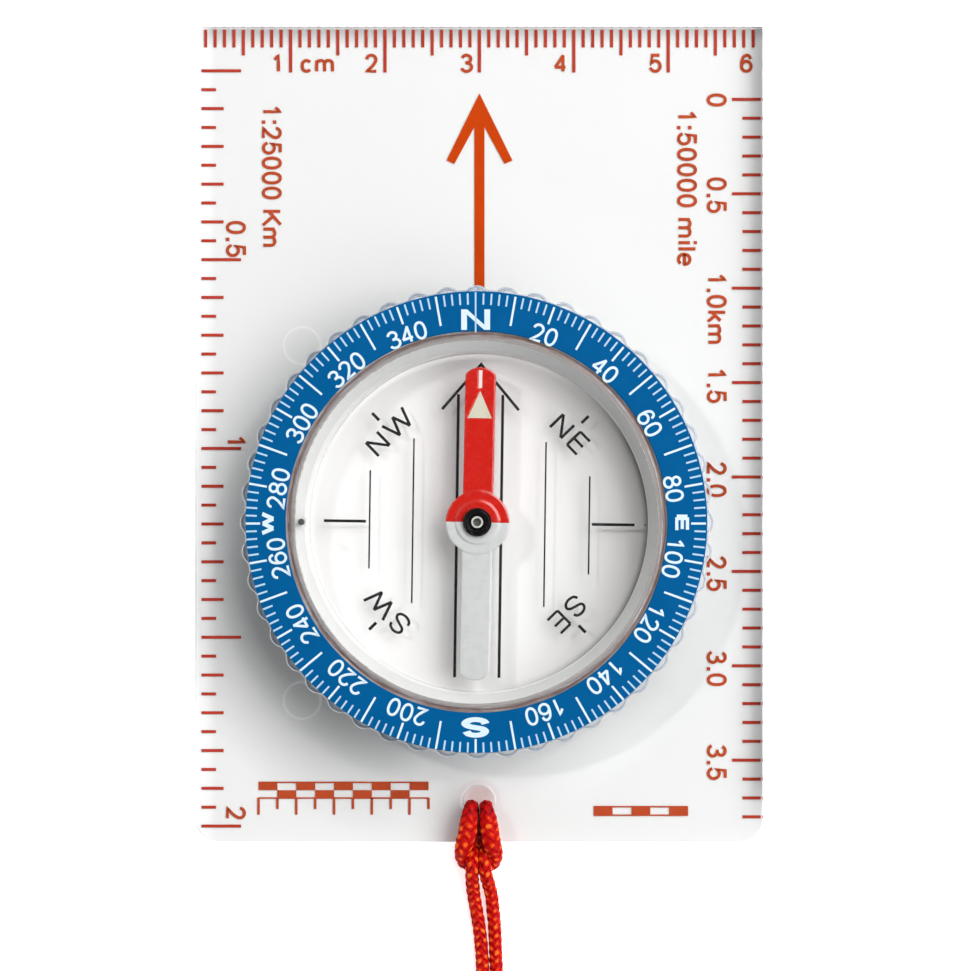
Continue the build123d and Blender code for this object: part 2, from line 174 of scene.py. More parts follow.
def clear(name, tint, ior, rough=(0.0, 0.02), shade=(0.955, 0.965, 0.965), wave=0.02, wave_scale=60.0, scratch=0.0,
          edges=None, milk=None, spec=0.5, rim=None, sealed=None):
    """Clear moulded plastic. Lamps and diffuse light pass through it, so that what lies under it is lit.

    edges: (half width, front, hole y, hole radius) in mm; lamp light is lost in the plate's own right, front and hole
    walls, as it is in a real thick plate. milk: (radius in mm, share) of a cloudy look outside that radius, with
    painted
    dark and highlight lines in it. rim: (edge radius in mm, colour, share) paints the darker line seen where a rounded
    edge turns away, and painted light on edges that face away from the lamp.
    sealed: (radius in mm, colour, share) of the seal seen through the edge outside that radius."""
    m = Mat(name)
    v = m.coords()
    n1 = m.noise(v, wave_scale, 2.0, 0.4)
    n2 = m.noise(v, 700.0, 3.0, 0.6)
    r = m.range(n2.outputs["Fac"], rough[0], rough[1], 0.35, 0.7)
    nb = m.bump(n1.outputs["Fac"], wave, 0.2 * MM)
    if scratch:
        sv = m.coords(1.0, (1.0, 0.03, 1.0))
        n3 = m.noise(sv, 5200.0, 1.0, 0.5)
        s1 = m.range(n3.outputs["Fac"], 0.0, 1.0, 0.72, 0.76)
        nb = m.bump(s1, scratch, 0.004 * MM, nb)
    n4 = m.noise(v, 25.0, 2.0, 0.5)
    col = m.ramp(n4.outputs["Fac"], [(0.3, tuple(c * 0.985 for c in tint)), (0.7, tint)])
    p = m.node("ShaderNodeBsdfPrincipled", ins={"Base Color": col, "Roughness": r, "IOR": ior, "Specular IOR Level": spec,
                                                "Transmission Weight": 1.0, "Normal": nb})
    surf = p.outputs[0]
    if milk:
        sep = m.node("ShaderNodeSeparateXYZ", ins={"Vector": v})
        flat = m.node("ShaderNodeCombineXYZ", ins={"X": sep.outputs["X"], "Y": sep.outputs["Y"]})
        ln = m.node("ShaderNodeVectorMath", operation="LENGTH", ins={0: flat.outputs[0]}).outputs["Value"]
        far = m.range(ln, 0.0, milk[1], (milk[0] - 0.02) * MM, (milk[0] + 0.02) * MM)
        # the cloudy ring's colour: a painted dark line near its inner edge, a painted highlight line near its outer
        # edge, then a painted dark rim
        steps = m.ramp(m.range(ln, 0.0, 1.0, (milk[0] - 0.02) * MM, (milk[0] + 1.5) * MM),
                       [(0.0, (0.97, 0.97, 0.96)), (0.07, (0.97, 0.97, 0.96)), (0.13, (0.92, 0.93, 0.92)), (0.50, (0.95, 0.96, 0.95)),
                        (0.80, (0.97, 0.97, 0.96)), (0.90, (0.98, 0.98, 0.97)), (1.0, (0.66, 0.66, 0.66))])
        inward = m.node("ShaderNodeCombineXYZ", ins={"X": m.math("MULTIPLY", sep.outputs["X"], -1.0), "Y": m.math("MULTIPLY", sep.outputs["Y"], -1.0),
                                                     "Z": m.math("MULTIPLY", ln, 0.69)})
        unit = m.node("ShaderNodeVectorMath", operation="NORMALIZE", ins={0: inward.outputs[0]}).outputs["Vector"]
        turned_n = m.node("ShaderNodeVectorTransform", vector_type="NORMAL", convert_from="OBJECT", convert_to="WORLD", ins={"Vector": unit})
        both = m.node("ShaderNodeBsdfDiffuse", ins={"Color": steps, "Normal": turned_n.outputs[0]})
        foot = m.math("MULTIPLY", m.range(ln, 0.0, 1.0, (milk[0] - 0.02) * MM, (milk[0] + 0.02) * MM),
                      m.range(ln, 1.0 - milk[1], 0.0, (milk[0] + 0.06) * MM, (milk[0] + 0.11) * MM))
        far = m.math("ADD", far, m.math("MULTIPLY", foot, 0.85))
        surf = m.node("ShaderNodeMixShader", ins={0: far, 1: surf, 2: both.outputs[0]}).outputs[0]
    if sealed:
        sp = m.node("ShaderNodeSeparateXYZ", ins={"Vector": v})
        fl = m.node("ShaderNodeCombineXYZ", ins={"X": sp.outputs["X"], "Y": sp.outputs["Y"]})
        lr = m.node("ShaderNodeVectorMath", operation="LENGTH", ins={0: fl.outputs[0]}).outputs["Value"]
        sd = m.node("ShaderNodeBsdfDiffuse", ins={"Color": sealed[1]})
        surf = m.node("ShaderNodeMixShader", ins={0: m.range(lr, 0.0, sealed[2], (sealed[0] - 0.02) * MM, (sealed[0] + 0.03) * MM), 1: surf, 2: sd.outputs[0]}).outputs[0]
    if rim:
        bn = m.node("ShaderNodeBevel", samples=8, ins={"Radius": rim[0] * MM}).outputs["Normal"]
        bz = m.node("ShaderNodeSeparateXYZ", ins={"Vector": bn}).outputs["Z"]
        tilt = m.math("ABSOLUTE", bz)
        turned = m.math("MULTIPLY", m.range(tilt, rim[2], 0.0, 0.60, 0.93), m.range(tilt, 0.12, 1.0, 0.06, 0.28))
        # painted light: an edge that faces away from the lamp is drawn brighter, standing in for the light that crossed
        # the piece and comes out there
        gn = m.node("ShaderNodeNewGeometry").outputs["Normal"]
        away = m.node("ShaderNodeVectorMath", operation="DOT_PRODUCT", ins={0: gn, 1: (-0.88, -0.47, 0.0)}).outputs["Value"]
        lit = m.range(away, 0.0, 1.0, 0.05, 0.55)
        rd = m.node("ShaderNodeBsdfDiffuse", ins={"Color": m.mixc(lit, rim[1], (0.93, 0.97, 1.0, 1.0))})
        turned = m.math("MINIMUM", m.math("MULTIPLY", turned, m.range(lit, 1.0, 1.7)), 0.85)
        surf = m.node("ShaderNodeMixShader", ins={0: turned, 1: surf, 2: rd.outputs[0]}).outputs[0]
    t = m.node("ShaderNodeBsdfTransparent", ins={"Color": (*shade, 1.0)})
    if edges:
        hw, front_, hy, hr = edges
        g = m.node("ShaderNodeNewGeometry")
        nz = m.node("ShaderNodeSeparateXYZ", ins={"Vector": g.outputs["True Normal"]}).outputs["Z"]
        wall_ = m.math("LESS_THAN", m.math("ABSOLUTE", nz), 0.5)
        q = m.node("ShaderNodeSeparateXYZ", ins={"Vector": v})
        right = m.math("GREATER_THAN", q.outputs["X"], (hw - 0.6) * MM)
        right = m.math("MULTIPLY", right, m.range(q.outputs["Y"], 0.0, 1.0, -32.0 * MM, -27.0 * MM))
        fore = m.math("GREATER_THAN", q.outputs["Y"], (front_ - 0.6) * MM)
        fore = m.math("MULTIPLY", fore, m.range(q.outputs["X"], 0.3, 1.0, -29.0 * MM, -20.0 * MM))
        dy = m.math("SUBTRACT", q.outputs["Y"], hy * MM)
        rr = m.math("SQRT", m.math("ADD", m.math("MULTIPLY", q.outputs["X"], q.outputs["X"]), m.math("MULTIPLY", dy, dy)))
        hole = m.math("LESS_THAN", rr, (hr + 0.5) * MM)
        lost = m.math("MAXIMUM", m.math("MAXIMUM", m.math("MULTIPLY", right, 0.72), m.math("MULTIPLY", fore, 0.15)), m.math("MULTIPLY", hole, 0.30))
        lost = m.math("MULTIPLY", wall_, lost)
        c = m.mixc(lost, (*shade, 1.0), (0.0, 0.0, 0.0, 1.0))
        m.link(c, t.inputs["Color"])
    lp = m.node("ShaderNodeLightPath")
    f = m.math("MAXIMUM", lp.outputs["Is Shadow Ray"], lp.outputs["Is Diffuse Ray"])
    mix = m.node("ShaderNodeMixShader", ins={0: f, 1: surf, 2: t.outputs[0]})
    m.link(mix.outputs[0], m.out.inputs["Surface"])
    return m.m


def cord_material(name):
    """Braided polyester: painted highlights on each yarn's crown, painted shade in the gaps, fine filaments along the
    yarn and a soft sheen.
    """
    m = Mat(name)
    h = m.node("ShaderNodeAttribute", attribute_name="crown", attribute_type="GEOMETRY").outputs["Fac"]
    uv = m.node("ShaderNodeUVMap", uv_map="yarn").outputs["UV"]
    mp = m.node("ShaderNodeMapping", ins={"Vector": uv})
    mp.inputs["Scale"].default_value = (2.2, 16.0, 1.0)
    fil = m.noise(mp.outputs["Vector"], 1.0, 3.0, 0.6)
    v = m.coords()
    patch = m.noise(v, 1500.0, 2.0, 0.5)
    hh = m.math("ADD", h, m.range(patch.outputs["Fac"], -0.24, 0.14, 0.3, 0.7))
    hh = m.math("ADD", hh, m.range(fil.outputs["Fac"], -0.10, 0.10, 0.3, 0.7))
    # the crown value sets the colour: dark red for painted shade in the gaps, orange for painted highlights on the yarn
    # tops
    col = m.ramp(hh, [(0.0, lin(136, 0, 12)), (0.28, lin(160, 0, 8)), (0.52, lin(188, 0, 2)), (0.76, lin(198, 8, 1)),
                      (0.86, lin(218, 50, 8)), (1.0, lin(244, 112, 30))])
    nb = m.bump(fil.outputs["Fac"], 0.55, 0.03 * MM)
    r = m.range(fil.outputs["Fac"], 0.42, 0.62, 0.3, 0.7)
    p = m.node("ShaderNodeBsdfPrincipled", ins={"Base Color": col, "Roughness": r, "Normal": nb, "Sheen Weight": 0.03,
                                                "Sheen Tint": lin(255, 110, 60), "Specular IOR Level": 0.12})
    m.link(p.outputs[0], m.out.inputs["Surface"])
    return m.m


# ------------------------------------------------------------------ mesh helpers
def make_object(name, verts, faces, mat, body, smooth=False):
    me = bpy.data.meshes.new(name)
    me.from_pydata([tuple(float(c) * MM for c in v) for v in verts], [], faces)
    me.validate()
    bm = bmesh.new()
    bm.from_mesh(me)
    bmesh.ops.recalc_face_normals(bm, faces=bm.faces)
    bm.to_mesh(me)
    bm.free()
    if smooth:
        me.polygons.foreach_set("use_smooth", [True] * len(me.polygons))
    ob = bpy.data.objects.new(name, me)
    scene.collection.objects.link(ob)
    me.materials.append(mat)
    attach(ob, body)
    return ob


class Ink:
    """Collects flat printed shapes as thin closed solids between two heights, in millimetres."""

    def __init__(self, z0, z1):
        self.z0, self.z1 = z0, z1
        self.v, self.f, self.k = [], [], 0

    def lift(self):
        # each stroke lies a hair above the last, so that crossing strokes never share a plane
        self.k = (self.k + 1) % 7
        return self.k * 0.0009

    def polygon(self, pts):
        n = len(pts)
        b = len(self.v)
        up = self.lift()
        area = sum(pts[i][0] * pts[(i + 1) % n][1] - pts[(i + 1) % n][0] * pts[i][1] for i in range(n))
        if area < 0:
            pts = pts[::-1]
        self.v += [(x, y, self.z0 + up) for x, y in pts] + [(x, y, self.z1 + up) for x, y in pts]
        self.f.append([b + i for i in range(n)][::-1])
        self.f.append([b + n + i for i in range(n)])
        for i in range(n):
            j = (i + 1) % n
            self.f.append([b + i, b + j, b + n + j, b + n + i])

    def ribbon(self, left, right, closed=False):
        n = len(left)
        b = len(self.v)
        up = self.lift()
        for z in (self.z0 + up, self.z1 + up):
            self.v += [(x, y, z) for x, y in left] + [(x, y, z) for x, y in right]
        L0, R0, L1, R1 = b, b + n, b + 2 * n, b + 3 * n
        m = n if closed else n - 1
        for i in range(m):
            j = (i + 1) % n
            self.f.append([L1 + i, L1 + j, R1 + j, R1 + i])
            self.f.append([L0 + i, R0 + i, R0 + j, L0 + j])
            self.f.append([L0 + i, L0 + j, L1 + j, L1 + i])
            self.f.append([R0 + i, R1 + i, R1 + j, R0 + j])
        if not closed:
            self.f.append([L0, L1, R1, R0])
            e = n - 1
            self.f.append([L0 + e, R0 + e, R1 + e, L1 + e])

    def bar(self, p, q, t):
        """Straight stroke from p to q, t wide."""
        p, q = np.array(p, float), np.array(q, float)
        d = (q - p) / np.linalg.norm(q - p)
        s = np.array([-d[1], d[0]]) * t / 2
        self.polygon([tuple(p + s), tuple(p - s), tuple(q - s), tuple(q + s)])

    def build(self, name, mat, body):
        return make_object(name, self.v, self.f, mat, body)


def offset(path, t, closed=False, limit=1.9):
    """Left and right edges of a stroke t wide along a path, with mitred corners."""
    p = np.array(path, float)
    n = len(p)
    left, right = [], []
    for i in range(n):
        a = p[(i - 1) % n] if (closed or i > 0) else None
        c = p[(i + 1) % n] if (closed or i < n - 1) else None
        d1 = (p[i] - a) / max(1e-9, np.linalg.norm(p[i] - a)) if a is not None else None
        d2 = (c - p[i]) / max(1e-9, np.linalg.norm(c - p[i])) if c is not None else None
        if d1 is None:
            d1 = d2
        if d2 is None:
            d2 = d1
        n1, n2 = np.array([-d1[1], d1[0]]), np.array([-d2[1], d2[0]])
        m = n1 + n2
        k = np.linalg.norm(m)
        if k < 1e-6:
            m, s = n1, 1.0
        else:
            m = m / k
            s = min(limit, 1.0 / max(0.2, float(m @ n1)))
        left.append(p[i] + m * s * t / 2)
        right.append(p[i] - m * s * t / 2)
    return left, right


def arc(cx, cy, rx, ry, a0, a1, n=14, e=2.0):
    out = []
    for i in range(n + 1):
        a = math.radians(a0 + (a1 - a0) * i / n)
        c, s = math.cos(a), math.sin(a)
        k = (abs(c) ** e + abs(s) ** e) ** (-1.0 / e)
        out.append((cx + rx * c * k, cy + ry * s * k))
    return out


def smooth_path(pts, per=6):
    """Catmull-Rom through the points."""
    p = [np.array(q, float) for q in pts]
    p = [2 * p[0] - p[1]] + p + [2 * p[-1] - p[-2]]
    out = []
    for i in range(1, len(p) - 2):
        for k in range(per):
            t = k / per
            out.append(0.5 * ((2 * p[i]) + (-p[i - 1] + p[i + 1]) * t
                              + (2 * p[i - 1] - 5 * p[i] + 4 * p[i + 1] - p[i + 2]) * t * t
                              + (-p[i - 1] + 3 * p[i] - 3 * p[i + 1] + p[i + 2]) * t ** 3))
    out.append(p[-2])
    return [tuple(q) for q in out]


# Glyph: advance, ink left, ink right, height, strokes. All in units of the cap height; a stroke is
# (points in the unit box of the skeleton, closed).
XH = 0.725
S_PATH = smooth_path([(0.95, 0.76), (0.82, 0.93), (0.50, 1.0), (0.18, 0.93), (0.05, 0.755), (0.16, 0.60), (0.50, 0.515),
                      (0.85, 0.42), (1.0, 0.255), (0.84, 0.07), (0.50, 0.0), (0.15, 0.075), (0.0, 0.265)])
GLYPHS = {
    "0": (0.777, 0.06, 0.715, 1.0, [(arc(0.5, 0.5, 0.5, 0.5, 0, 355, 35, 2.25), True)]),
    "1": (0.777, 0.15, 0.52, 1.0, [([(0.0, 0.715), (0.30, 0.79), (0.60, 0.89), (1.0, 1.02), (1.0, 0.5), (1.0, 0.0)], False)]),
    "2": (0.777, 0.045, 0.715, 1.0, [(arc(0.5, 0.72, 0.47, 0.28, 176, -12, 14) + smooth_path([(0.90, 0.58), (0.72, 0.40), (0.40, 0.19), (0.04, 0.0)], 4)[0:] + [(1.0, 0.0)], False)]),
    "3": (0.777, 0.055, 0.72, 1.0, [(arc(0.48, 0.765, 0.44, 0.235, 165, -80, 14), False),
                                    ([(0.36, 0.53)] + arc(0.48, 0.265, 0.52, 0.265, 88, -165, 18), False)]),
    "4": (0.777, 0.02, 0.72, 1.0, [([(0.76, 0.0), (0.76, 0.5), (0.76, 1.0)], False), ([(0.80, 1.0), (0.02, 0.25)], False), ([(0.0, 0.26), (0.5, 0.26), (1.0, 0.26)], False)]),
    "5": (0.777, 0.055, 0.72, 1.0, [([(0.93, 1.0), (0.5, 1.0), (0.20, 1.0), (0.06, 0.48)] + arc(0.49, 0.325, 0.51, 0.325, 140, -165, 18)[1:], False)]),
    "6": (0.777, 0.055, 0.715, 1.0, [(arc(0.5, 0.31, 0.5, 0.31, 0, 350, 26), True),
                                     (smooth_path([(0.93, 0.76), (0.80, 0.94), (0.53, 1.0), (0.22, 0.90), (0.04, 0.64), (0.0, 0.36)], 5), False)]),
    "8": (0.777, 0.055, 0.72, 1.0, [(arc(0.5, 0.765, 0.41, 0.235, 0, 350, 24), True),
                                    (arc(0.5, 0.265, 0.5, 0.265, 0, 350, 26), True)]),
    ".": (0.388, 0.12, 0.27, 0.0, []),
    ":": (0.388, 0.12, 0.27, 0.0, []),
    " ": (0.388, 0.0, 0.0, 0.0, []),
    "N": (1.00, 0.10, 0.90, 1.0, [([(0.0, 0.0), (0.0, 1.0)], False), ([(0.03, 1.0), (0.97, 0.0)], False), ([(1.0, 0.0), (1.0, 1.0)], False)]),
    "E": (0.93, 0.11, 0.85, 1.0, [([(0.0, 0.0), (0.0, 1.0)], False), ([(0.0, 1.0), (1.0, 1.0)], False),
                                  ([(0.0, 0.0), (1.03, 0.0)], False), ([(0.0, 0.515), (0.94, 0.515)], False)]),
    "S": (0.93, 0.06, 0.86, 1.0, [(S_PATH, False)]),
    "W": (1.32, 0.02, 1.30, 1.0, [([(0.0, 1.03), (0.25, 0.0)], False), ([(0.245, 0.0), (0.505, 0.99)], False),
                                 ([(0.495, 0.99), (0.755, 0.0)], False), ([(0.75, 0.0), (1.0, 1.03)], False)]),
    "K": (0.93, 0.10, 0.92, 1.0, [([(0.0, 0.0), (0.0, 1.0)], False), ([(1.02, 1.03), (0.0, 0.33)], False), ([(0.36, 0.60), (1.06, -0.03)], False)]),
    "k": (0.70, 0.09, 0.68, 1.0, [([(0.0, 0.0), (0.0, 1.0)], False), ([(0.98, 0.72), (0.0, 0.22)], False), ([(0.38, 0.44), (1.06, -0.03)], False)]),
    "l": (0.31, 0.09, 0.22, 1.0, [([(0.5, 0.0), (0.5, 1.0)], False)]),
    "i": (0.31, 0.09, 0.22, XH, [([(0.5, 0.0), (0.5, 1.0)], False)]),
    "m": (1.163, 0.09, 1.07, XH, [([(0.0, 0.0), (0.0, 1.0)], False),
                                  (arc(0.25, 0.66, 0.25, 0.34, 172, 0, 10, 2.3) + [(0.5, 0.0)], False),
                                  (arc(0.75, 0.66, 0.25, 0.34, 172, 0, 10, 2.3) + [(1.0, 0.0)], False)]),
    "c": (0.70, 0.05, 0.67, XH, [(arc(0.5, 0.5, 0.5, 0.5, 42, 318, 22, 2.1), False)]),
    "e": (0.777, 0.05, 0.72, XH, [([(0.02, 0.52), (0.98, 0.52)] + arc(0.5, 0.5, 0.5, 0.5, 8, 322, 24, 2.1), False)]),
}


def text_width(s, cap):
    adv = sum(GLYPHS[c][0] for c in s)
    return (adv - GLYPHS[s[0]][1] - (GLYPHS[s[-1]][0] - GLYPHS[s[-1]][2])) * cap


def glyph_strokes(c, cap, t):
    """Yields (left, right, closed) or a polygon for one glyph, x from the ink's left edge of its cell origin."""
    adv, x0, x1, h, strokes = GLYPHS[c]
    out = []
    if c in ".:":
        d = t * 1.12
        xa = x0 * cap
        out.append(("poly", [(xa, 0), (xa + d, 0), (xa + d, d), (xa, d)]))
        if c == ":":
            y = XH * cap
            out.append(("poly", [(xa, y - d), (xa + d, y - d), (xa + d, y), (xa, y)]))
        return out
    w, hh = (x1 - x0) * cap, h * cap
    w = max(w, t)
    for pts, closed in strokes:
        path = [(x0 * cap + t / 2 + u * (w - t), t / 2 + v * (hh - t)) for u, v in pts]
        l, r = offset(path, t, closed)
        clip = lambda q: (min(max(q[0], x0 * cap - 0.02 * cap), x0 * cap + w + 0.02 * cap), min(max(q[1], 0.0), hh))
        out.append(("rib", [clip(q) for q in l], [clip(q) for q in r], closed))
    if c == "i":
        out.append(("poly", [(x0 * cap, cap - t * 1.05), (x0 * cap + t, cap - t * 1.05), (x0 * cap + t, cap), (x0 * cap, cap)]))
    return out


def put_glyph(ink, c, cap, t, fn):
    for s in glyph_strokes(c, cap, t):
        if s[0] == "poly":
            ink.polygon([fn(q) for q in s[1]])
        else:
            ink.ribbon([fn(q) for q in s[1]], [fn(q) for q in s[2]], s[3])


def put_text(ink, s, cap, t, origin, right, up, length=None):
    """Straight text whose ink starts at origin and runs along right."""
    k = 1.0 if length is None else length / text_width(s, cap)
    o, r, u = np.array(origin, float), np.array(right, float), np.array(up, float)
    x = -GLYPHS[s[0]][1] * cap
    for c in s:
        xs = x * k
        mid = (GLYPHS[c][1] + GLYPHS[c][2]) / 2 * cap
        def fn(q, xs=xs, mid=mid):
            return tuple(o + r * (xs + mid * k + (q[0] - mid) * min(1.0, k * 1.02)) + u * q[1])
        put_glyph(ink, c, cap, t, fn)
        x += GLYPHS[c][0] * cap


def put_letters(ink, letters, cap, t, gap, centre_pt, right, up):
    """Capitals with stated widths, centred on a point, in millimetres."""
    o, r, u = np.array(centre_pt, float), np.array(right, float), np.array(up, float)
    total = sum(w for _, w in letters) + gap * (len(letters) - 1)
    x = -total / 2
    for c, w in letters:
        g0, g1 = GLYPHS[c][1] * cap, GLYPHS[c][2] * cap
        k = (w - t) / (g1 - g0 - t)
        def fn(q, x=x, g0=g0, k=k):
            return tuple(o + r * (x + t / 2 + (q[0] - g0 - t / 2) * k) + u * (q[1] - cap / 2))
        put_glyph(ink, c, cap, t, fn)
        x += w + gap


def put_arc_text(ink, s, cap, t, centre, r_base, bearing, track=1.0, widen=1.0):
    """Text round a dial: tops outward, centred on a clockwise bearing from +Y, baseline at r_base."""
    total = text_width(s, cap) * track
    r_mid = r_base + cap * 0.5
    x = -GLYPHS[s[0]][1] * cap
    for c in s:
        g0, g1 = GLYPHS[c][1] * cap, GLYPHS[c][2] * cap
        mid = (g0 + g1) / 2
        a = math.radians(bearing) + ((x + mid) * track - total / 2) / r_mid
        rt = np.array([math.cos(a), -math.sin(a)])
        up = np.array([math.sin(a), math.cos(a)])
        def fn(q, rt=rt, up=up, mid=mid):
            return tuple(np.array(centre) + rt * (q[0] - mid) * widen + up * (r_base + q[1]))
        put_glyph(ink, c, cap, t, fn)
        x += GLYPHS[c][0] * cap


# ------------------------------------------------------------------ sizes read from the frame, in millimetres
def mmbox(n):
    lo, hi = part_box(n)
    return np.array(lo) / MM, np.array(hi) / MM


plate_lo, plate_hi = mmbox("baseplate")
ring_lo, ring_hi = mmbox("degree_ring")
cap_lo, cap_hi = mmbox("capsule_base")
bezel_lo, bezel_hi = mmbox("dial_bezel")
seat_lo, seat_hi = mmbox("pivot_seat")
FLOOR_TOP = 1.60          # inside floor of the capsule, 1.2 mm over its underside
FLOOR_TOP = float(cap_lo[2]) + 1.20
RING_R = float(ring_hi[0])

# ------------------------------------------------------------------ materials
INK_RED = lin(186, 74, 38)
mat_plate = clear("clear_acrylic", (0.985, 0.99, 0.988, 1.0), 1.49, (0.0, 0.03), shade=(0.965, 0.967, 0.966), wave=0.010, wave_scale=45.0, scratch=0.04,
                  edges=(float(plate_hi[0]), float(plate_hi[1]), -29.4, 1.7))
# the bezel's rim colour paints dark lines on its turned-away edges, drawn lighter on edges that face away from the lamp
mat_bezel = clear("clear_bezel", (0.91, 0.945, 0.99, 1.0), 1.27, (0.0, 0.05), shade=(0.955, 0.97, 0.985), wave=0.03, wave_scale=150.0,
                  rim=(0.15, lin(140, 164, 194), 0.50))
mat_lens = clear("clear_lens", (0.992, 0.992, 0.988, 1.0), 1.34, (0.0, 0.02), shade=(0.985, 0.985, 0.985), wave=0.002, wave_scale=30.0, scratch=0.02, sealed=(18.98, (0.28, 0.255, 0.245, 1.0), 0.70))
mat_cup_clear = clear("clear_capsule", (0.992, 0.992, 0.988, 1.0), 1.04, (0.0, 0.02), shade=(0.99, 0.99, 0.99), wave=0.002, wave_scale=30.0,
                      milk=(17.9, 0.66))
mat_blue = solid("dial_blue", (0.0002, 0.096, 0.278, 1), rough=(0.34, 0.46), vary=0.04, scale=2600.0, bump=0.05, bump_mm=0.004, spec=0.04, edge=0.08)


def seal_material(name):
    """Moulded seal, brown, with fine streaks that run round the dial as painted reflections; its silvery edges are
    painted highlights.
    """
    m = Mat(name)
    q = m.node("ShaderNodeSeparateXYZ", ins={"Vector": m.coords()})
    x, y = q.outputs["X"], q.outputs["Y"]
    r = m.math("SQRT", m.math("ADD", m.math("MULTIPLY", x, x), m.math("MULTIPLY", y, y)))
    a = m.math("ARCTAN2", y, x)
    w = m.node("ShaderNodeCombineXYZ", ins={"X": m.math("MULTIPLY", r, 5200.0), "Y": m.math("MULTIPLY", a, 5.0), "Z": q.outputs["Z"]})
    n1 = m.noise(w.outputs[0], 1.0, 3.0, 0.6)
    n2 = m.noise(m.coords(), 900.0, 3.0, 0.6)
    mid = m.range(r, 0.0, 1.0, 19.42 * MM, 19.66 * MM)
    out = m.range(r, 1.0, 0.0, 19.74 * MM, 19.94 * MM)
    core_ = m.math("MULTIPLY", mid, out)
    # painted highlight: the middle of the band is drawn darker and its edges lighter and silvery
    f = m.math("ADD", m.math("MULTIPLY", core_, -0.30), m.range(n1.outputs["Fac"], 0.30, 0.86, 0.32, 0.68))
    f = m.math("ADD", f, m.range(n2.outputs["Fac"], -0.08, 0.08, 0.3, 0.7))
    col = m.ramp(f, [(0.0, lin(92, 76, 74)), (0.30, lin(124, 104, 98)), (0.58, lin(150, 140, 138)), (0.85, lin(196, 200, 206)), (1.0, lin(214, 220, 226))])
    nb = m.bump(n1.outputs["Fac"], 0.3, 0.02 * MM)
    p = m.node("ShaderNodeBsdfPrincipled", ins={"Base Color": col, "Roughness": m.range(n2.outputs["Fac"], 0.32, 0.52, 0.3, 0.7), "Normal": nb,
                                                "Specular IOR Level": 0.4})
    m.link(p.outputs[0], m.out.inputs["Surface"])
    return m.m


mat_seal = seal_material("seal_brown")
mat_plug = solid("plug_grey", lin(70, 70, 70), rough=(0.35, 0.5), vary=0.2, scale=5000.0, bump=0.2)
mat_nylon = solid("ring_nylon", lin(226, 224, 216), rough=(0.38, 0.5), vary=0.04, scale=900.0, bump=0.15)
mat_rubber = solid("ring_rubber", lin(28, 28, 29), rough=(0.6, 0.75), vary=0.15, scale=2200.0, bump=0.3)
mat_brass = solid("seat_brass", lin(214, 178, 96), rough=(0.2, 0.32), vary=0.08, scale=2600.0, bump=0.12, metallic=1.0, stretch=(1, 1, 8))
mat_steel = solid("pin_steel", lin(190, 192, 196), rough=(0.16, 0.28), vary=0.06, scale=3000.0, bump=0.1, metallic=1.0, stretch=(1, 1, 6))
mat_magnet = solid("magnet_steel", lin(120, 122, 126), rough=(0.3, 0.45), vary=0.12, scale=1800.0, bump=0.15, metallic=1.0)
mat_red = solid("needle_red", lin(216, 27, 14), rough=(0.22, 0.32), vary=0.025, scale=1100.0, bump=0.03, bump_mm=0.004, coat=1.0, spec=0.3, edge=0.32, coat_ior=2.1, coat_rough=0.07)
mat_grey = solid("needle_grey", lin(219, 222, 221), rough=(0.22, 0.34), vary=0.02, scale=1100.0, bump=0.03, bump_mm=0.004, coat=1.0, edge=0.32, coat_ior=2.1, coat_rough=0.07)
mat_cup = solid("cup_metal", lin(222, 221, 218), rough=(0.32, 0.45), vary=0.05, scale=4000.0, bump=0.1, metallic=0.35)
mat_jewel = solid("jewel", lin(190, 70, 90), rough=(0.05, 0.1), vary=0.1, scale=2000.0, bump=0.02, coat=0.6)
mat_cap = solid("cap_black", lin(5, 3, 4), rough=(0.24, 0.34), vary=0.12, scale=900.0, bump=0.02, bump_mm=0.003, coat=0.35, spec=0.1, coat_rough=0.16)
# the bore at the top of the jewel cup: a darker grey as painted shade in the hole
mat_bore_shade = solid("cup_bore_shade", lin(78, 78, 74), rough=(0.4, 0.5), vary=0.15, scale=4000.0, bump=0.1)
mat_lume = solid("lume_cream", lin(210, 206, 186), rough=(0.6, 0.75), vary=0.06, scale=5200.0, bump=0.35, bump_mm=0.02, speck=lin(204, 196, 168))
mat_index = solid("index_white", lin(240, 222, 216), rough=(0.5, 0.65), vary=0.05, scale=5200.0, bump=0.25, bump_mm=0.015)
mat_ink = solid("print_red", INK_RED, rough=(0.5, 0.65), vary=0.07, scale=2400.0, bump=0.15, bump_mm=0.004, spec=0.08)
mat_ticks = solid("print_scale", lin(186, 60, 44), rough=(0.5, 0.65), vary=0.07, scale=2400.0, bump=0.15, bump_mm=0.004, spec=0.08)
mat_arrow = solid("print_arrow", lin(203, 66, 2), rough=(0.5, 0.65), vary=0.05, scale=2400.0, bump=0.15, bump_mm=0.004, spec=0.05)
mat_white = solid("print_white", lin(214, 233, 247), rough=(0.45, 0.6), vary=0.03, scale=2600.0, bump=0.15, bump_mm=0.004, spec=0.3)
mat_tick = solid("print_tick", lin(176, 208, 234), rough=(0.45, 0.6), vary=0.04, scale=2600.0, bump=0.15, bump_mm=0.004, spec=0.2)
mat_black = solid("print_black", lin(34, 32, 33), rough=(0.5, 0.65), vary=0.2, scale=2600.0, bump=0.15, bump_mm=0.004, spec=0.2)
mat_cord = cord_material("cord_red")

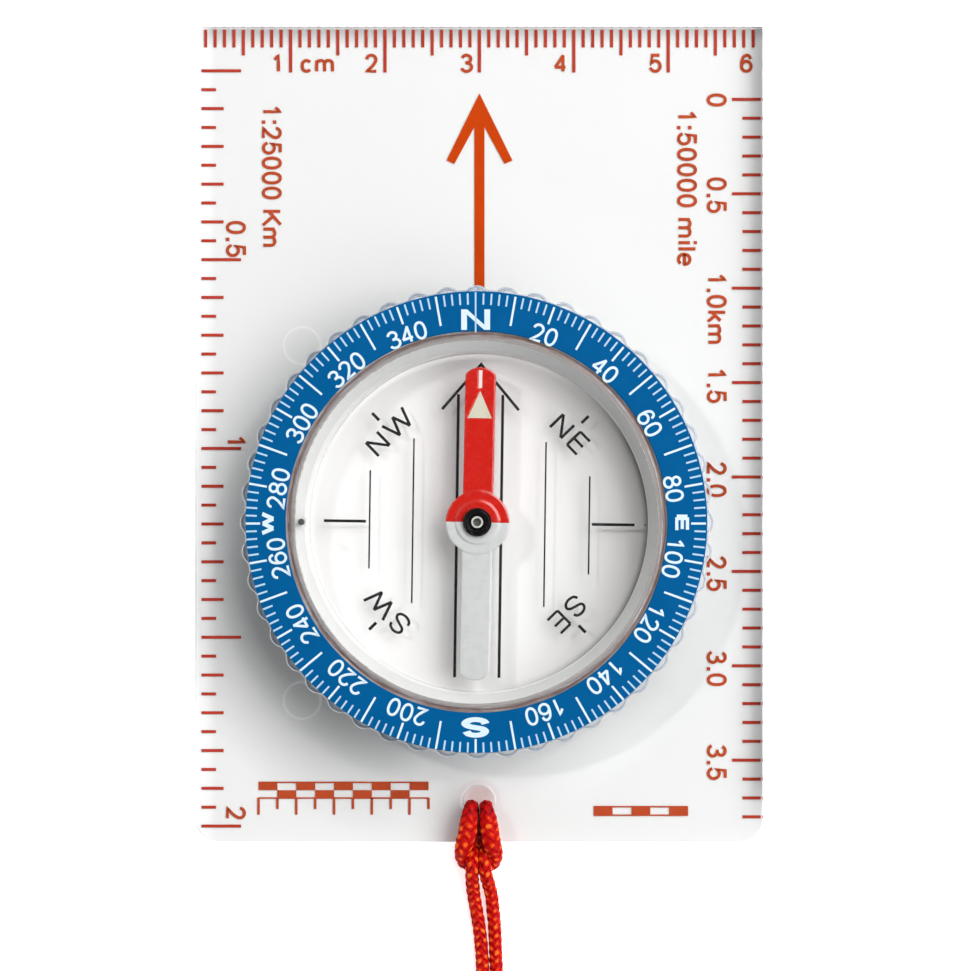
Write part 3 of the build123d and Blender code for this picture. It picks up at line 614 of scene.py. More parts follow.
for node, mat in {
    "baseplate": mat_plate, "dial_bezel": mat_bezel, "degree_ring": mat_blue, "capsule_seal": mat_seal,
    "capsule_base": mat_cup_clear, "capsule_lens": mat_lens, "fill_plug": mat_plug, "retaining_ring": mat_nylon,
    "friction_ring": mat_rubber, "pivot_seat": mat_brass, "pivot_pin": mat_steel, "needle_magnet": mat_magnet,
    "needle_north": mat_red, "needle_south": mat_grey, "jewel_cup": mat_cup, "jewel_bearing": mat_jewel,
    "hub_cap": mat_cap, "lume_triangle": mat_lume, "north_index": mat_index,
    "lanyard_hitch": mat_cord, "lanyard_loop": mat_cord,
}.items():
    o = nodes[node]
    if not o.material_slots:
        o.data.materials.append(mat)
    for s in o.material_slots:
        s.material = mat

# ------------------------------------------------------------------ print on the plate
front = float(plate_hi[1])
half_w = float(plate_hi[0])
ink = Ink(0.020, 0.045)
ticks = Ink(0.020, 0.045)
arrow = Ink(0.020, 0.045)
T = 0.32
for i in range(1, 60):
    x = -half_w + i
    end = front - (4.68 if i % 10 == 0 else 2.88 if i % 5 == 0 else 2.03)
    ticks.bar((x, front - 0.15), (x, end), T if i % 10 else T + 0.02)
CAP = 2.04
for s, x0, w in (("1", 273.0, 8.0), ("cm", 300.6, 33.7), ("2", 365.0, 13.6), ("3", 460.4, 12.9), ("4", 553.6, 13.6), ("5", 649.0, 13.0), ("6", 740.0, 14.5)):
    x = (x0 - 479.5) / 9.44
    put_text(ink, s, CAP, 0.33, (x, front - 4.72), (1, 0), (0, 1), length=w / 9.44 if len(s) > 1 else None)
# long scale on the left: 2 mm steps
y0 = front - 4.50
for i in range(41):
    y = y0 - 2.0 * i
    x1 = -25.25 if i % 10 == 0 else (-27.10 if i % 2 == 0 else -27.90)
    ticks.bar((-half_w + 0.55, y), (x1, y), T)
# scale on the right
y1 = front - 7.52
for i in range(39):
    y = y1 - 2.0 * i
    ticks.bar((26.75 if i % 5 == 0 else 27.86, y), (half_w - 0.20, y), T)


def down_text(s, x, ya, yb, cap=2.12, t=0.33):
    """Text turned clockwise: it reads down the plate, its tops to the right."""
    put_text(ink, s, cap, t, (x, ya), (0, -1), (1, 0), length=ya - yb)


def ypx(v):
    return (523.0 - v) / 9.44


down_text("0.5", -26.85, ypx(221), ypx(257))
down_text("2", -26.85, ypx(806.5), ypx(819.5))
put_text(ink, "1", 2.12, 0.33, (-26.85, ypx(436)), (0, -1), (1, 0))
down_text("1:25000 Km", -23.05, ypx(106), ypx(246.6))
for s, a, b in (("0", 93, 107), ("0.5", 177.5, 213), ("1.0km", 274, 343.6), ("1.5", 369, 403), ("2.0", 462, 497),
                ("2.5", 556, 591), ("3.0", 651, 686), ("3.5", 744.6, 780)):
    down_text(s, 24.08, ypx(a), ypx(b))
down_text("1:50000 mile", 20.93, ypx(111), ypx(266))
# direction-of-travel arrow
arrow.polygon([(0.0, 45.52), (3.50, 38.40), (2.66, 38.03), (0.53, 41.95), (0.53, 24.64), (-0.53, 24.64), (-0.53, 41.95),
             (-2.66, 38.03), (-3.50, 38.40)])
# plain map scale bars in place of any mark
for k in range(9):
    xa = -23.4 + 2.0 * k
    if k % 2 == 0:
        ink.polygon([(xa, -28.3), (xa + 2.0, -28.3), (xa + 2.0, -27.55), (xa, -27.55)])
    else:
        ink.polygon([(xa, -29.05), (xa + 2.0, -29.05), (xa + 2.0, -28.3), (xa, -28.3)])
ink.bar((-23.4, -27.47), (-5.4, -27.47), 0.16)
ink.bar((-23.4, -29.13), (-5.4, -29.13), 0.16)
for k in range(10):
    ink.bar((-23.4 + 2.0 * k, -29.1), (-23.4 + 2.0 * k, -30.3 if k % 2 else -30.9), 0.26)
for k in range(5):
    if k % 2 == 0:
        ink.polygon([(12.1 + 2.0 * k, -30.9), (14.1 + 2.0 * k, -30.9), (14.1 + 2.0 * k, -30.1), (12.1 + 2.0 * k, -30.1)])
ink.bar((12.1, -30.05), (22.1, -30.05), 0.16)
ink.bar((12.1, -30.95), (22.1, -30.95), 0.16)
ink.build("plate_print", mat_ink, "plate")
ticks.build("plate_scales", mat_ticks, "plate")
arrow.build("plate_arrow", mat_arrow, "plate")

# ------------------------------------------------------------------ print on the dial
top = float(ring_hi[2])
wh = Ink(top - 0.012, top + 0.018)
fine = Ink(top - 0.012, top + 0.018)
gc = np.array([-0.08, -0.16])     # the print sits a little off the ring's centre
edge = RING_R - 0.03


def radial(ink_, centre, bearing, r_in, r_out, t, limit=None):
    a = math.radians(bearing)
    d = np.array([math.sin(a), math.cos(a)])
    s = np.array([d[1], -d[0]]) * t / 2
    if limit:
        # the outer end stops at the ring's own edge
        b = float(centre @ d)
        c = float(centre @ centre) - limit ** 2
        r_out = min(r_out, -b + math.sqrt(b * b - c))
    p, q = centre + d * r_in, centre + d * r_out
    ink_.polygon([tuple(p + s), tuple(p - s), tuple(q - s), tuple(q + s)])


for deg in range(0, 360, 2):
    if deg == 0:
        continue
    if deg % 90 == 0:
        r_in = 22.54
    elif deg % 20 == 0:
        r_in = 22.18
    elif deg % 10 == 0:
        r_in = 20.98
    else:
        r_in = 22.90
    radial(wh if deg % 10 == 0 else fine, gc, deg, r_in, 24.07, 0.225 if deg % 10 == 0 else 0.19, edge)
for deg in (20, 40, 60, 80, 100, 120, 140, 160, 200, 220, 240, 260, 280, 300, 320, 340):
    put_arc_text(wh, str(deg), 1.95, 0.27, gc, 20.03, deg, track=0.97)
# cardinal letters
for c, bearing, r0, h, w, t in (("E", 90, 20.87, 1.44, 1.87, 0.33), ("W", 270, 20.98, 1.46, 2.42, 0.33), ("S", 180, 20.25, 2.14, 3.0, 0.50)):
    g = GLYPHS[c]
    k = w / ((g[2] - g[1]) * h)
    a = math.radians(bearing)
    rt, up = np.array([math.cos(a), -math.sin(a)]), np.array([math.sin(a), math.cos(a)])
    mid = (g[1] + g[2]) / 2 * h
    put_glyph(wh, c, h, t, lambda q: tuple(gc + rt * (q[0] - mid) * k + up * (r0 + q[1])))
nx, n0, n1 = 1.51, 20.25, 22.39
for s in (-1, 1):
    wh.polygon([tuple(gc + (s * nx, n0)), tuple(gc + (s * (nx - 0.60), n0)), tuple(gc + (s * (nx - 0.60), n1)), tuple(gc + (s * nx, n1))])
wh.polygon([tuple(gc + p) for p in ((-nx, n1), (-nx + 0.62, n1), (nx, n0), (nx - 0.62, n0))])
fine.polygon([tuple(gc + p) for p in ((-0.085, 19.97), (0.085, 19.97), (0.085, 24.18), (-0.085, 24.18))])
for q in range(len(fine.v) - 8, len(fine.v)):
    fine.v[q] = (fine.v[q][0], fine.v[q][1], fine.v[q][2] + 0.006)
fine.build("dial_ticks", mat_tick, "dial")
wh.build("dial_print", mat_white, "dial")
# the north mark runs on over the clear scallop
tipm = Ink(6.44, 6.465)
tipm.polygon([(-0.165, RING_R + 0.01), (0.005, RING_R + 0.01), (0.005, 24.55), (-0.165, 24.55)])
tipm.build("north_mark", mat_tick, "dial")

# ------------------------------------------------------------------ print on the capsule floor
bk = Ink(FLOOR_TOP - 0.006, FLOOR_TOP + 0.014)
ROT = math.radians(-0.8)


def rot(p):
    c, s = math.cos(ROT), math.sin(ROT)
    return (p[0] * c - p[1] * s, p[0] * s + p[1] * c)


def fbar(p, q, t):
    bk.bar(rot(p), rot(q), t)


fbar((-2.345, 13.55), (-2.345, -16.35), 0.30)
fbar((2.345, 13.55), (2.345, -16.35), 0.30)
l, r = offset([(-4.05, 11.95), (0.0, 16.75), (4.05, 11.95)], 0.30)
bk.ribbon([rot(q) for q in l], [rot(q) for q in r])
for x, a, b, t in ((-11.55, 5.40, -4.98, 0.17), (-6.98, 8.82, -8.58, 0.17), (6.98, 8.62, -8.80, 0.17), (11.65, 5.08, -5.30, 0.17)):
    fbar((x, a), (x, b), t)
fbar((11.93, 0.0), (16.45, 0.0), 0.30)
fbar((-16.38, 0.0), (-11.93, 0.0), 0.30)
WIDE = {"N": 1.92, "E": 1.72, "S": 1.88, "W": 3.16}
for word, b, gap in (("NW", 315, 0.52), ("NE", 45, 0.66), ("SW", 225, 0.42), ("SE", 135, 0.58)):
    a = math.radians(b + 0.8)
    up = np.array([math.sin(a), math.cos(a)])
    rt = np.array([math.cos(a), -math.sin(a)])
    put_letters(bk, [(c, WIDE[c]) for c in word], 2.24, 0.28, gap, up * 13.42, rt, up)
    radial(bk, np.zeros(2), b + 0.8, 15.12, 16.18, 0.32)
bk.polygon([(17.52, -0.30), (17.66, -0.30), (17.66, -0.16), (17.52, -0.16)])
bk.build("floor_print", mat_black, "dial")


# ------------------------------------------------------------------ turned pieces at the middle of the needle
def rounded(profile, radii, per=5):
    """Closed (r, z) profile with its corners rounded."""
    out = []
    n = len(profile)
    for i in range(n):
        p = np.array(profile[i], float)
        a, b = np.array(profile[i - 1], float), np.array(profile[(i + 1) % n], float)
        rad = radii[i]
        if rad <= 0:
            out.append(tuple(p))
            continue
        d1, d2 = (a - p) / np.linalg.norm(a - p), (b - p) / np.linalg.norm(b - p)
        ang = math.acos(max(-1.0, min(1.0, float(d1 @ d2))))
        cut = min(rad / math.tan(ang / 2), 0.49 * np.linalg.norm(a - p), 0.49 * np.linalg.norm(b - p))
        s0, s1 = p + d1 * cut, p + d2 * cut
        for k in range(per + 1):
            t = k / per
            out.append(tuple((1 - t) ** 2 * s0 + 2 * t * (1 - t) * p + t * t * s1))
    return out


def lathe(name, profile, mat, body, segs=128, turn=0.0):
    """Closed turned solid about the needle's axis."""
    pts = [(max(0.0, r), z) for r, z in profile]
    verts, rings = [], []
    for r, z in pts:
        if r < 1e-6:
            rings.append([len(verts)])
            verts.append((0.0, 0.0, z))
        else:
            rings.append(list(range(len(verts), len(verts) + segs)))
            for k in range(segs):
                a = 2 * math.pi * k / segs
                verts.append((r * math.cos(a), r * math.sin(a), z))
    faces = []
    m = len(rings)
    for i in range(m):
        A, B = rings[i], rings[(i + 1) % m]
        if len(A) == 1 and len(B) == 1:
            continue
        for k in range(segs):
            k2 = (k + 1) % segs
            if len(A) == 1:
                faces.append((A[0], B[k], B[k2]))
            elif len(B) == 1:
                faces.append((A[k], B[0], A[k2]))
            else:
                faces.append((A[k], B[k], B[k2], A[k2]))
    ob = make_object(name, verts, faces, mat, body, smooth=True)
    ob.data.set_sharp_from_angle(angle=math.radians(38))
    return ob


hub_lo, hub_hi = mmbox("hub_cap")
cup_lo, cup_hi = mmbox("jewel_cup")
ct, cb, cr = float(hub_hi[2]), float(hub_lo[2]), float(hub_hi[0])
cap_profile = rounded([(1.10, cb), (cr, cb), (cr, ct - 0.20), (cr - 0.26, ct), (cr - 0.42, ct - 0.02), (0.95, ct - 0.13),
                       (0.635, ct - 0.13), (0.635, 4.80), (1.10, 4.80)],
                      [0, 0.02, 0.16, 0.10, 0.05, 0.08, 0.02, 0, 0])
cap_ob = lathe("hub_cap_turned", cap_profile, mat_cap, "needle")
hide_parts("hub_cap")
tt = float(cup_hi[2])
cup_profile = rounded([(0.75, float(cup_lo[2])), (1.095, float(cup_lo[2])), (1.095, 4.795), (0.610, 4.795), (0.610, tt), (0.445, tt),
                       (0.425, tt - 0.12), (0.42, 4.86), (0.0, 4.80), (0.0, 4.56), (0.75, 4.56)],
                      [0.0, 0.03, 0.03, 0, 0.07, 0.04, 0.02, 0.05, 0, 0, 0])
cup_ob = lathe("jewel_cup_turned", cup_profile, mat_cup, "needle")
# faces in the cup's bore get the painted-shade grey
cup_ob.data.materials.append(mat_bore_shade)
for poly in cup_ob.data.polygons:
    c = poly.center
    if (c.x ** 2 + c.y ** 2) ** 0.5 < 0.43 * MM and c.z > 4.7 * MM:
        poly.material_index = 1
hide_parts("jewel_cup")

# ------------------------------------------------------------------ lanyard
def spline3(pts, step):
    """Centripetal-free Catmull-Rom through 3-D points, resampled to an even step."""
    p = np.array(pts, float)
    q = np.vstack([2 * p[0] - p[1], p, 2 * p[-1] - p[-2]])
    out = []
    for i in range(1, len(q) - 2):
        for k in range(24):
            t = k / 24
            out.append(0.5 * ((2 * q[i]) + (-q[i - 1] + q[i + 1]) * t + (2 * q[i - 1] - 5 * q[i] + 4 * q[i + 1] - q[i + 2]) * t * t
                              + (-q[i - 1] + 3 * q[i] - 3 * q[i + 1] + q[i + 2]) * t ** 3))
    out.append(q[-2])
    out = np.array(out)
    s = np.r_[0, np.cumsum(np.linalg.norm(np.diff(out, axis=0), axis=1))]
    n = int(round(s[-1] / step))
    si = np.linspace(0, s[-1], n + 1)
    return np.stack([np.interp(si, s, out[:, k]) for k in range(out.shape[1])], 1), si


def frames(path):
    t = np.gradient(path, axis=0)
    t /= np.linalg.norm(t, axis=1)[:, None]
    u = np.zeros_like(t)
    ref = np.array([0, 0, 1.0])
    u[0] = ref - (ref @ t[0]) * t[0]
    u[0] /= np.linalg.norm(u[0])
    for i in range(1, len(t)):
        v = u[i - 1] - (u[i - 1] @ t[i]) * t[i]
        u[i] = v / np.linalg.norm(v)
    return t, u, np.cross(t, u)


def braid(path, s, squash, R=0.74, pitch=5.3, n=6, sides=8, turn=0.0):
    """Twelve yarns, two over two, on a round cord. Returns vertices, faces, crown values that set the painted highlight
    and shade, and yarn coordinates.
    """
    t, u, w = frames(path)
    half_a, half_b, delta = 0.265, 0.100, 0.088
    Rm = R - half_b - delta * 1.25
    rng = np.random.default_rng(11)
    V, F, H, UV = [], [], [], []
    for direction in (1, -1):
        for i in range(n):
            phi = 2 * math.pi * (direction * s / pitch + i / n) + turn
            q = 2 * i + direction * 2 * n * s / pitch
            wave = np.cos(math.pi * (q - 0.5) / 2) * direction
            r = Rm + delta * 1.25 * wave
            radial_dir = np.cos(phi)[:, None] * u + np.sin(phi)[:, None] * w
            tang_dir = -np.sin(phi)[:, None] * u + np.cos(phi)[:, None] * w
            slope = direction * 2 * math.pi * Rm / pitch
            along = t + slope * tang_dir
            along /= np.linalg.norm(along, axis=1)[:, None]
            side = np.cross(radial_dir, along)
            # yarns are never quite even
            lump = rng.normal(0, 1, len(s) // 3 + 3)
            lump = np.interp(np.arange(len(s)), np.arange(len(lump)) * 3, lump)
            fat = rng.normal(0, 1, len(s) // 4 + 3)
            fat = np.interp(np.arange(len(s)), np.arange(len(fat)) * 4, fat)
            centre = radial_dir * (r + 0.018 * lump)[:, None]
            ha = half_a * (1 + 0.10 * fat)
            base = len(V)
            for k in range(sides):
                a = 2 * math.pi * k / sides
                ca, sa = math.cos(a), math.sin(a)
                off = centre + side * (ha * ca)[:, None] + radial_dir * (half_b * sa)
                # the cord is pressed flat where it bears on the plate
                flat = squash[:, 0:1]
                z = off[:, 2:3]
                off = np.hstack([off[:, :2] * (1 + 0.42 * flat), z * (1 - 0.22 * flat)])
                V.append(path + off)
                # crown value: high on a yarn's top where it crosses over, low on its sides and in the gaps; it sets the
                # painted highlight and shade
                H.append(0.5 + 0.36 * np.where(wave > 0, wave ** 3, wave) + 0.22 * sa - 0.12 * abs(ca))
                UV.append(np.stack([s, np.full_like(s, k / sides)], 1))
            m = len(path)
            for k in range(sides):
                k2 = (k + 1) % sides
                for j in range(m - 1):
                    F.append((base + k, base + k2, j))
    m = len(path)
    verts = np.concatenate(V)
    hs = np.concatenate([np.broadcast_to(h, (m,)) for h in H])
    uvs = np.concatenate(UV)
    faces = []
    for a, b, j in F:
        faces.append((a * m + j, a * m + j + 1, b * m + j + 1, b * m + j))
    # closed ends
    for y in range(len(V) // sides):
        ring = [(y * sides + k) * m for k in range(sides)]
        faces.append(tuple(ring))
        faces.append(tuple(r_ + m - 1 for r_ in ring[::-1]))
    return verts, faces, hs, uvs


def core(path, squash, R, sides=12):
    t, u, w = frames(path)
    m = len(path)
    V = []
    for k in range(sides):
        a = 2 * math.pi * k / sides
        off = (math.cos(a) * u + math.sin(a) * w) * R
        flat = squash[:, 0:1]
        off = np.hstack([off[:, :2] * (1 + 0.42 * flat), off[:, 2:3] * (1 - 0.22 * flat)])
        V.append(path + off)
    verts = np.concatenate(V)
    faces = []
    for k in range(sides):
        k2 = (k + 1) % sides
        for j in range(m - 1):
            faces.append((k * m + j, k * m + j + 1, k2 * m + j + 1, k2 * m + j))
    faces.append(tuple(k * m for k in range(sides)))
    faces.append(tuple(k * m + m - 1 for k in range(sides))[::-1])
    return verts, faces


# fourth value: how flat the cord is pressed
right_leg = [
    (0.00, -36.35, 0.76, 0.0), (0.95, -36.28, 0.80, 0.0), (1.55, -35.85, 1.15, 0.1), (1.72, -35.00, 1.95, 0.4), (1.56, -34.15, 2.78, 0.7),
    (1.34, -33.30, 3.12, 0.9), (1.20, -32.20, 3.16, 0.9), (1.04, -31.10, 3.14, 0.6), (0.90, -30.35, 2.86, 0.1), (0.80, -30.02, 2.20, 0.0),
    (0.75, -30.05, 1.45, 0.0), (0.75, -30.62, 0.86, 0.0), (0.73, -31.6, 0.77, 0.0), (0.69, -33.2, 0.78, 0.0), (0.66, -34.3, 1.05, 0.0),
    (0.64, -35.3, 1.75, 0.0), (0.66, -36.30, 2.20, 0.0), (0.76, -37.30, 1.90, 0.0), (1.02, -38.30, 1.30, 0.0), (1.27, -39.5, 0.90, 0.0),
    (1.42, -40.9, 0.77, 0.0), (1.56, -42.3, 0.76, 0.0), (1.64, -43.8, 0.76, 0.0), (1.71, -45.4, 0.76, 0.0), (1.80, -47.2, 0.76, 0.0),
    (2.1, -49.2, 0.76, 0.0), (3.4, -53.0, 0.76, 0.0), (6.6, -58.5, 0.76, 0.0), (9.6, -64.5, 0.76, 0.0), (11.1, -71.5, 0.76, 0.0),
    (10.7, -79.0, 0.76, 0.0), (8.4, -86.0, 0.76, 0.0), (5.3, -91.4, 0.76, 0.0), (2.7, -94.1, 0.76, 0.0), (1.0, -94.85, 0.76, 0.0), (0.0, -94.95, 0.76, 0.0),
]
left_leg = [
    (0.00, -36.35, 0.76, 0.0), (-0.95, -36.28, 0.80, 0.0), (-1.60, -35.85, 1.15, 0.1), (-1.76, -35.00, 1.95, 0.4), (-1.60, -34.15, 2.78, 0.7),
    (-1.32, -33.30, 3.12, 0.9), (-1.10, -32.20, 3.16, 0.9), (-0.94, -31.10, 3.14, 0.6), (-0.86, -30.25, 2.86, 0.2), (-0.78, -29.94, 2.20, 0.0),
    (-0.75, -30.02, 1.45, 0.0), (-0.75, -30.62, 0.86, 0.0), (-0.73, -31.6, 0.77, 0.0), (-0.69, -33.2, 0.78, 0.0), (-0.66, -34.3, 1.05, 0.0),
    (-0.66, -35.3, 1.75, 0.0), (-0.68, -36.30, 2.20, 0.0), (-0.74, -37.30, 1.90, 0.0), (-0.72, -38.30, 1.30, 0.0), (-0.58, -39.5, 0.90, 0.0),
    (-0.36, -40.9, 0.77, 0.0), (-0.10, -42.3, 0.76, 0.0), (0.10, -43.8, 0.76, 0.0), (0.22, -45.4, 0.76, 0.0), (0.32, -47.2, 0.76, 0.0),
    (0.2, -49.2, 0.76, 0.0), (-1.4, -53.0, 0.76, 0.0), (-5.4, -58.5, 0.76, 0.0), (-9.0, -64.5, 0.76, 0.0), (-11.0, -71.5, 0.76, 0.0),
    (-10.8, -79.0, 0.76, 0.0), (-8.5, -86.0, 0.76, 0.0), (-5.3, -91.4, 0.76, 0.0), (-2.7, -94.1, 0.76, 0.0), (-1.0, -94.85, 0.76, 0.0), (0.0, -94.95, 0.76, 0.0),
]
full = right_leg[::-1] + left_leg[1:]
path4, arc_s = spline3(full, 0.19)
path, sq = path4[:, :3], path4[:, 3:4]
bv, bf, crown_paint, buv = braid(path, arc_s, sq)
cv, cf = core(path[::2], sq[::2], 0.50)
# painted shade: the crown value is lowered where the cord turns down into the hole and where it lies between the plate
# and the table
hole_shade_paint = np.clip((bv[:, 1] + 31.5) / 1.1, 0, 1) * 0.30
under_plate_shade_paint = np.clip((2.2 - bv[:, 2]) / 0.8, 0, 1) * np.clip((bv[:, 1] + 37.2) / 0.8, 0, 1) * 0.12
crown_paint = crown_paint - np.maximum(hole_shade_paint, under_plate_shade_paint)
nb_ = len(bv)
verts = np.concatenate([bv, cv])
faces = bf + [tuple(i + nb_ for i in f) for f in cf]
me = bpy.data.meshes.new("lanyard")
me.from_pydata((verts * MM).tolist(), [], faces)
me.validate()
att = me.attributes.new("crown", "FLOAT", "POINT")
att.data.foreach_set("value", np.concatenate([crown_paint, np.zeros(len(cv))]).astype(np.float32))
uvl = me.uv_layers.new(name="yarn")
alluv = np.concatenate([buv, np.zeros((len(cv), 2))])
li = np.zeros(len(me.loops), np.int32)
me.loops.foreach_get("vertex_index", li)
uvl.data.foreach_set("uv", alluv[li].astype(np.float32).ravel())
bm = bmesh.new()
bm.from_mesh(me)
bmesh.ops.recalc_face_normals(bm, faces=bm.faces)
bm.to_mesh(me)
bm.free()
me.polygons.foreach_set("use_smooth", [True] * len(me.polygons))
cord = bpy.data.objects.new("lanyard", me)
scene.collection.objects.link(cord)
me.materials.append(mat_cord)
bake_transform(cord)
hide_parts("lanyard_hitch", "lanyard_loop")

# ------------------------------------------------------------------ stage
me = bpy.data.meshes.new("stage_floor")
S = 1.6
me.from_pydata([(-S, -S, -0.00006), (S, -S, -0.00006), (S, S, -0.00006), (-S, S, -0.00006)], [], [(0, 1, 2, 3)])
floor = bpy.data.objects.new("stage_floor", me)
scene.collection.objects.link(floor)
fm = Mat("stage_floor")
fv = fm.coords()
fn = fm.noise(fv, 40.0, 3.0)
fc = fm.ramp(fn.outputs["Fac"], [(0.3, (0.945, 0.945, 0.945, 1)), (0.7, (0.955, 0.955, 0.955, 1))])
fq = fm.node("ShaderNodeSeparateXYZ", ins={"Vector": fv})
# lighter under the liquid, and along the left and rear walls, where the thick plate gathers light
fr = fm.math("SQRT", fm.math("ADD", fm.math("MULTIPLY", fq.outputs["X"], fq.outputs["X"]), fm.math("MULTIPLY", fq.outputs["Y"], fq.outputs["Y"])))
under = fm.range(fr, 1.0, 0.0, 18.2 * MM, 19.4 * MM)
left_band = fm.range(fq.outputs["X"], 1.0, 0.0, -(float(plate_hi[0]) - 0.9) * MM, -(float(plate_hi[0]) - 2.1) * MM)
rear_band = fm.range(fq.outputs["Y"], 0.7, 0.0, (float(plate_lo[1]) + 0.6) * MM, (float(plate_lo[1]) + 1.9) * MM)
lift_ = fm.math("MAXIMUM", fm.math("MAXIMUM", under, left_band), rear_band)
fc = fm.mixc(fm.math("MULTIPLY", lift_, 1.0), fc, (0.985, 0.985, 0.985, 1.0))
# painted shade: darker under the east half of the capsule, and a dark ring under the capsule wall on its east side
fc = fm.mixc(fm.math("MULTIPLY", under, fm.range(fq.outputs["X"], 0.0, 1.0, 6.0 * MM, 17.0 * MM)), fc, (0.86, 0.86, 0.86, 1.0))
shade_r = fm.math("MULTIPLY", fm.range(fr, 0.0, 1.0, 17.2 * MM, 17.9 * MM), fm.range(fr, 1.0, 0.0, 19.6 * MM, 19.9 * MM))
fc = fm.mixc(fm.math("MULTIPLY", shade_r, fm.range(fq.outputs["X"], 0.0, 1.0, 0.0, 17.0 * MM)), fc, (0.30, 0.30, 0.30, 1.0))
# the shadow beside the dial is deepest to the south-west, where the plate keeps light out of it
shade_d = fm.math("DIVIDE", fm.math("ADD", fm.math("MULTIPLY", fq.outputs["X"], -0.766), fm.math("MULTIPLY", fq.outputs["Y"], -0.643)), fm.math("MAXIMUM", fr, MM))
shade_d = fm.math("MULTIPLY", fm.range(shade_d, 0.0, 0.31, 0.80, 0.98), fm.math("MULTIPLY", fm.range(fr, 0.0, 1.0, 22.0 * MM, 23.5 * MM), fm.range(fr, 1.0, 0.0, 28.0 * MM, 36.0 * MM)))
fc = fm.mixc(shade_d, fc, (0.0, 0.0, 0.0, 1.0))
# the front wall keeps light from the strip of table just behind it
front = fm.math("SUBTRACT", fq.outputs["Y"], fm.math("MULTIPLY", fq.outputs["X"], 0.008))
front = fm.range(front, 0.0, 0.37, (float(plate_hi[1]) - 1.65) * MM, (float(plate_hi[1]) - 0.2) * MM)
front = fm.math("MULTIPLY", front, fm.range(fq.outputs["Y"], 1.0, 0.0, (float(plate_hi[1]) - 0.03) * MM, (float(plate_hi[1]) + 0.02) * MM))
front = fm.math("MULTIPLY", front, fm.range(fq.outputs["X"], 0.0, 1.0, -(float(plate_hi[0]) - 0.1) * MM, -(float(plate_hi[0]) - 1.6) * MM))
front = fm.math("MULTIPLY", front, fm.range(fq.outputs["X"], 1.0, 0.0, (float(plate_hi[0]) - 0.03) * MM, (float(plate_hi[0]) + 0.02) * MM))
fc = fm.mixc(front, fc, (0.0, 0.0, 0.0, 1.0))
# painted red bounce light from the cord on the table under the hole
hx = fm.math("ADD", fq.outputs["Y"], 29.2 * MM)
hr_ = fm.math("SQRT", fm.math("ADD", fm.math("MULTIPLY", fq.outputs["X"], fq.outputs["X"]), fm.math("MULTIPLY", hx, hx)))
fc = fm.mixc(fm.range(hr_, 1.0, 0.0, 1.0 * MM, 2.4 * MM), fc, (0.84, 0.66, 0.64, 1.0))
fp = fm.node("ShaderNodeBsdfDiffuse", ins={"Color": fc})
# the table around the plate glows a little, as a back-lit one does
ax = fm.math("ABSOLUTE", fq.outputs["X"])
ay = fm.math("ABSOLUTE", fm.math("SUBTRACT", fq.outputs["Y"], (float(plate_hi[1]) + float(plate_lo[1])) / 2 * MM))
inset = fm.range(fq.outputs["Y"], 2.5 * MM, 0.22 * MM, -20.0 * MM, 30.0 * MM)
dx = fm.math("SUBTRACT", fm.math("ADD", ax, inset), float(plate_hi[0]) * MM)
dy = fm.math("SUBTRACT", fm.math("ADD", ay, inset), (float(plate_hi[1]) - float(plate_lo[1])) / 2 * MM)
dx, dy = fm.math("MAXIMUM", dx, 0.0), fm.math("MAXIMUM", dy, 0.0)
dd = fm.math("SQRT", fm.math("ADD", fm.math("MULTIPLY", dx, dx), fm.math("MULTIPLY", dy, dy)))
outside = fm.range(fm.math("SUBTRACT", dd, inset), 0.0, 1.0, -0.02 * MM, 0.03 * MM)
# light the dial gathers: on the table up and to the right of it, and on the far side of the capsule from the lamp
toward = fm.math("ADD", fm.math("MULTIPLY", fq.outputs["X"], 0.80), fm.math("MULTIPLY", fq.outputs["Y"], 0.60))
halo = fm.math("MULTIPLY", fm.range(fr, 1.0, 0.0, 25.0 * MM, 37.0 * MM), fm.range(toward, 0.0, 1.0, 4.0 * MM, 22.0 * MM))
halo = fm.math("MULTIPLY", halo, fm.math("GREATER_THAN", fr, 20.0 * MM))
pool = fm.math("MULTIPLY", under, fm.range(fq.outputs["X"], 1.0, 0.0, -14.0 * MM, 9.0 * MM))
glow = fm.math("MAXIMUM", fm.math("MULTIPLY", halo, 0.055), fm.math("MULTIPLY", pool, 0.085))
glow = fm.math("MAXIMUM", glow, fm.math("MULTIPLY", left_band, 0.11))
# painted light on the ring under the capsule wall, on its west and north sides
foot = fm.math("ADD", fm.range(fq.outputs["X"], 0.22, 0.0, -16.0 * MM, 12.0 * MM), fm.range(fq.outputs["Y"], 0.0, 0.24, 8.0 * MM, 17.0 * MM))
glow = fm.math("MAXIMUM", glow, fm.math("MULTIPLY", shade_r, foot))
# painted light on the table just south of the dial, to lighten its shadow there
south = fm.math("DIVIDE", fm.math("SUBTRACT", fm.math("MULTIPLY", fq.outputs["X"], 0.22), fm.math("MULTIPLY", fq.outputs["Y"], 0.975)), fm.math("MAXIMUM", fr, MM))
south = fm.math("MULTIPLY", fm.range(south, 0.0, 0.13, 0.82, 0.97), fm.math("MULTIPLY", fm.range(fr, 0.0, 1.0, 22.0 * MM, 23.5 * MM), fm.range(fr, 1.0, 0.0, 25.5 * MM, 31.0 * MM)))
glow = fm.math("MAXIMUM", glow, south)
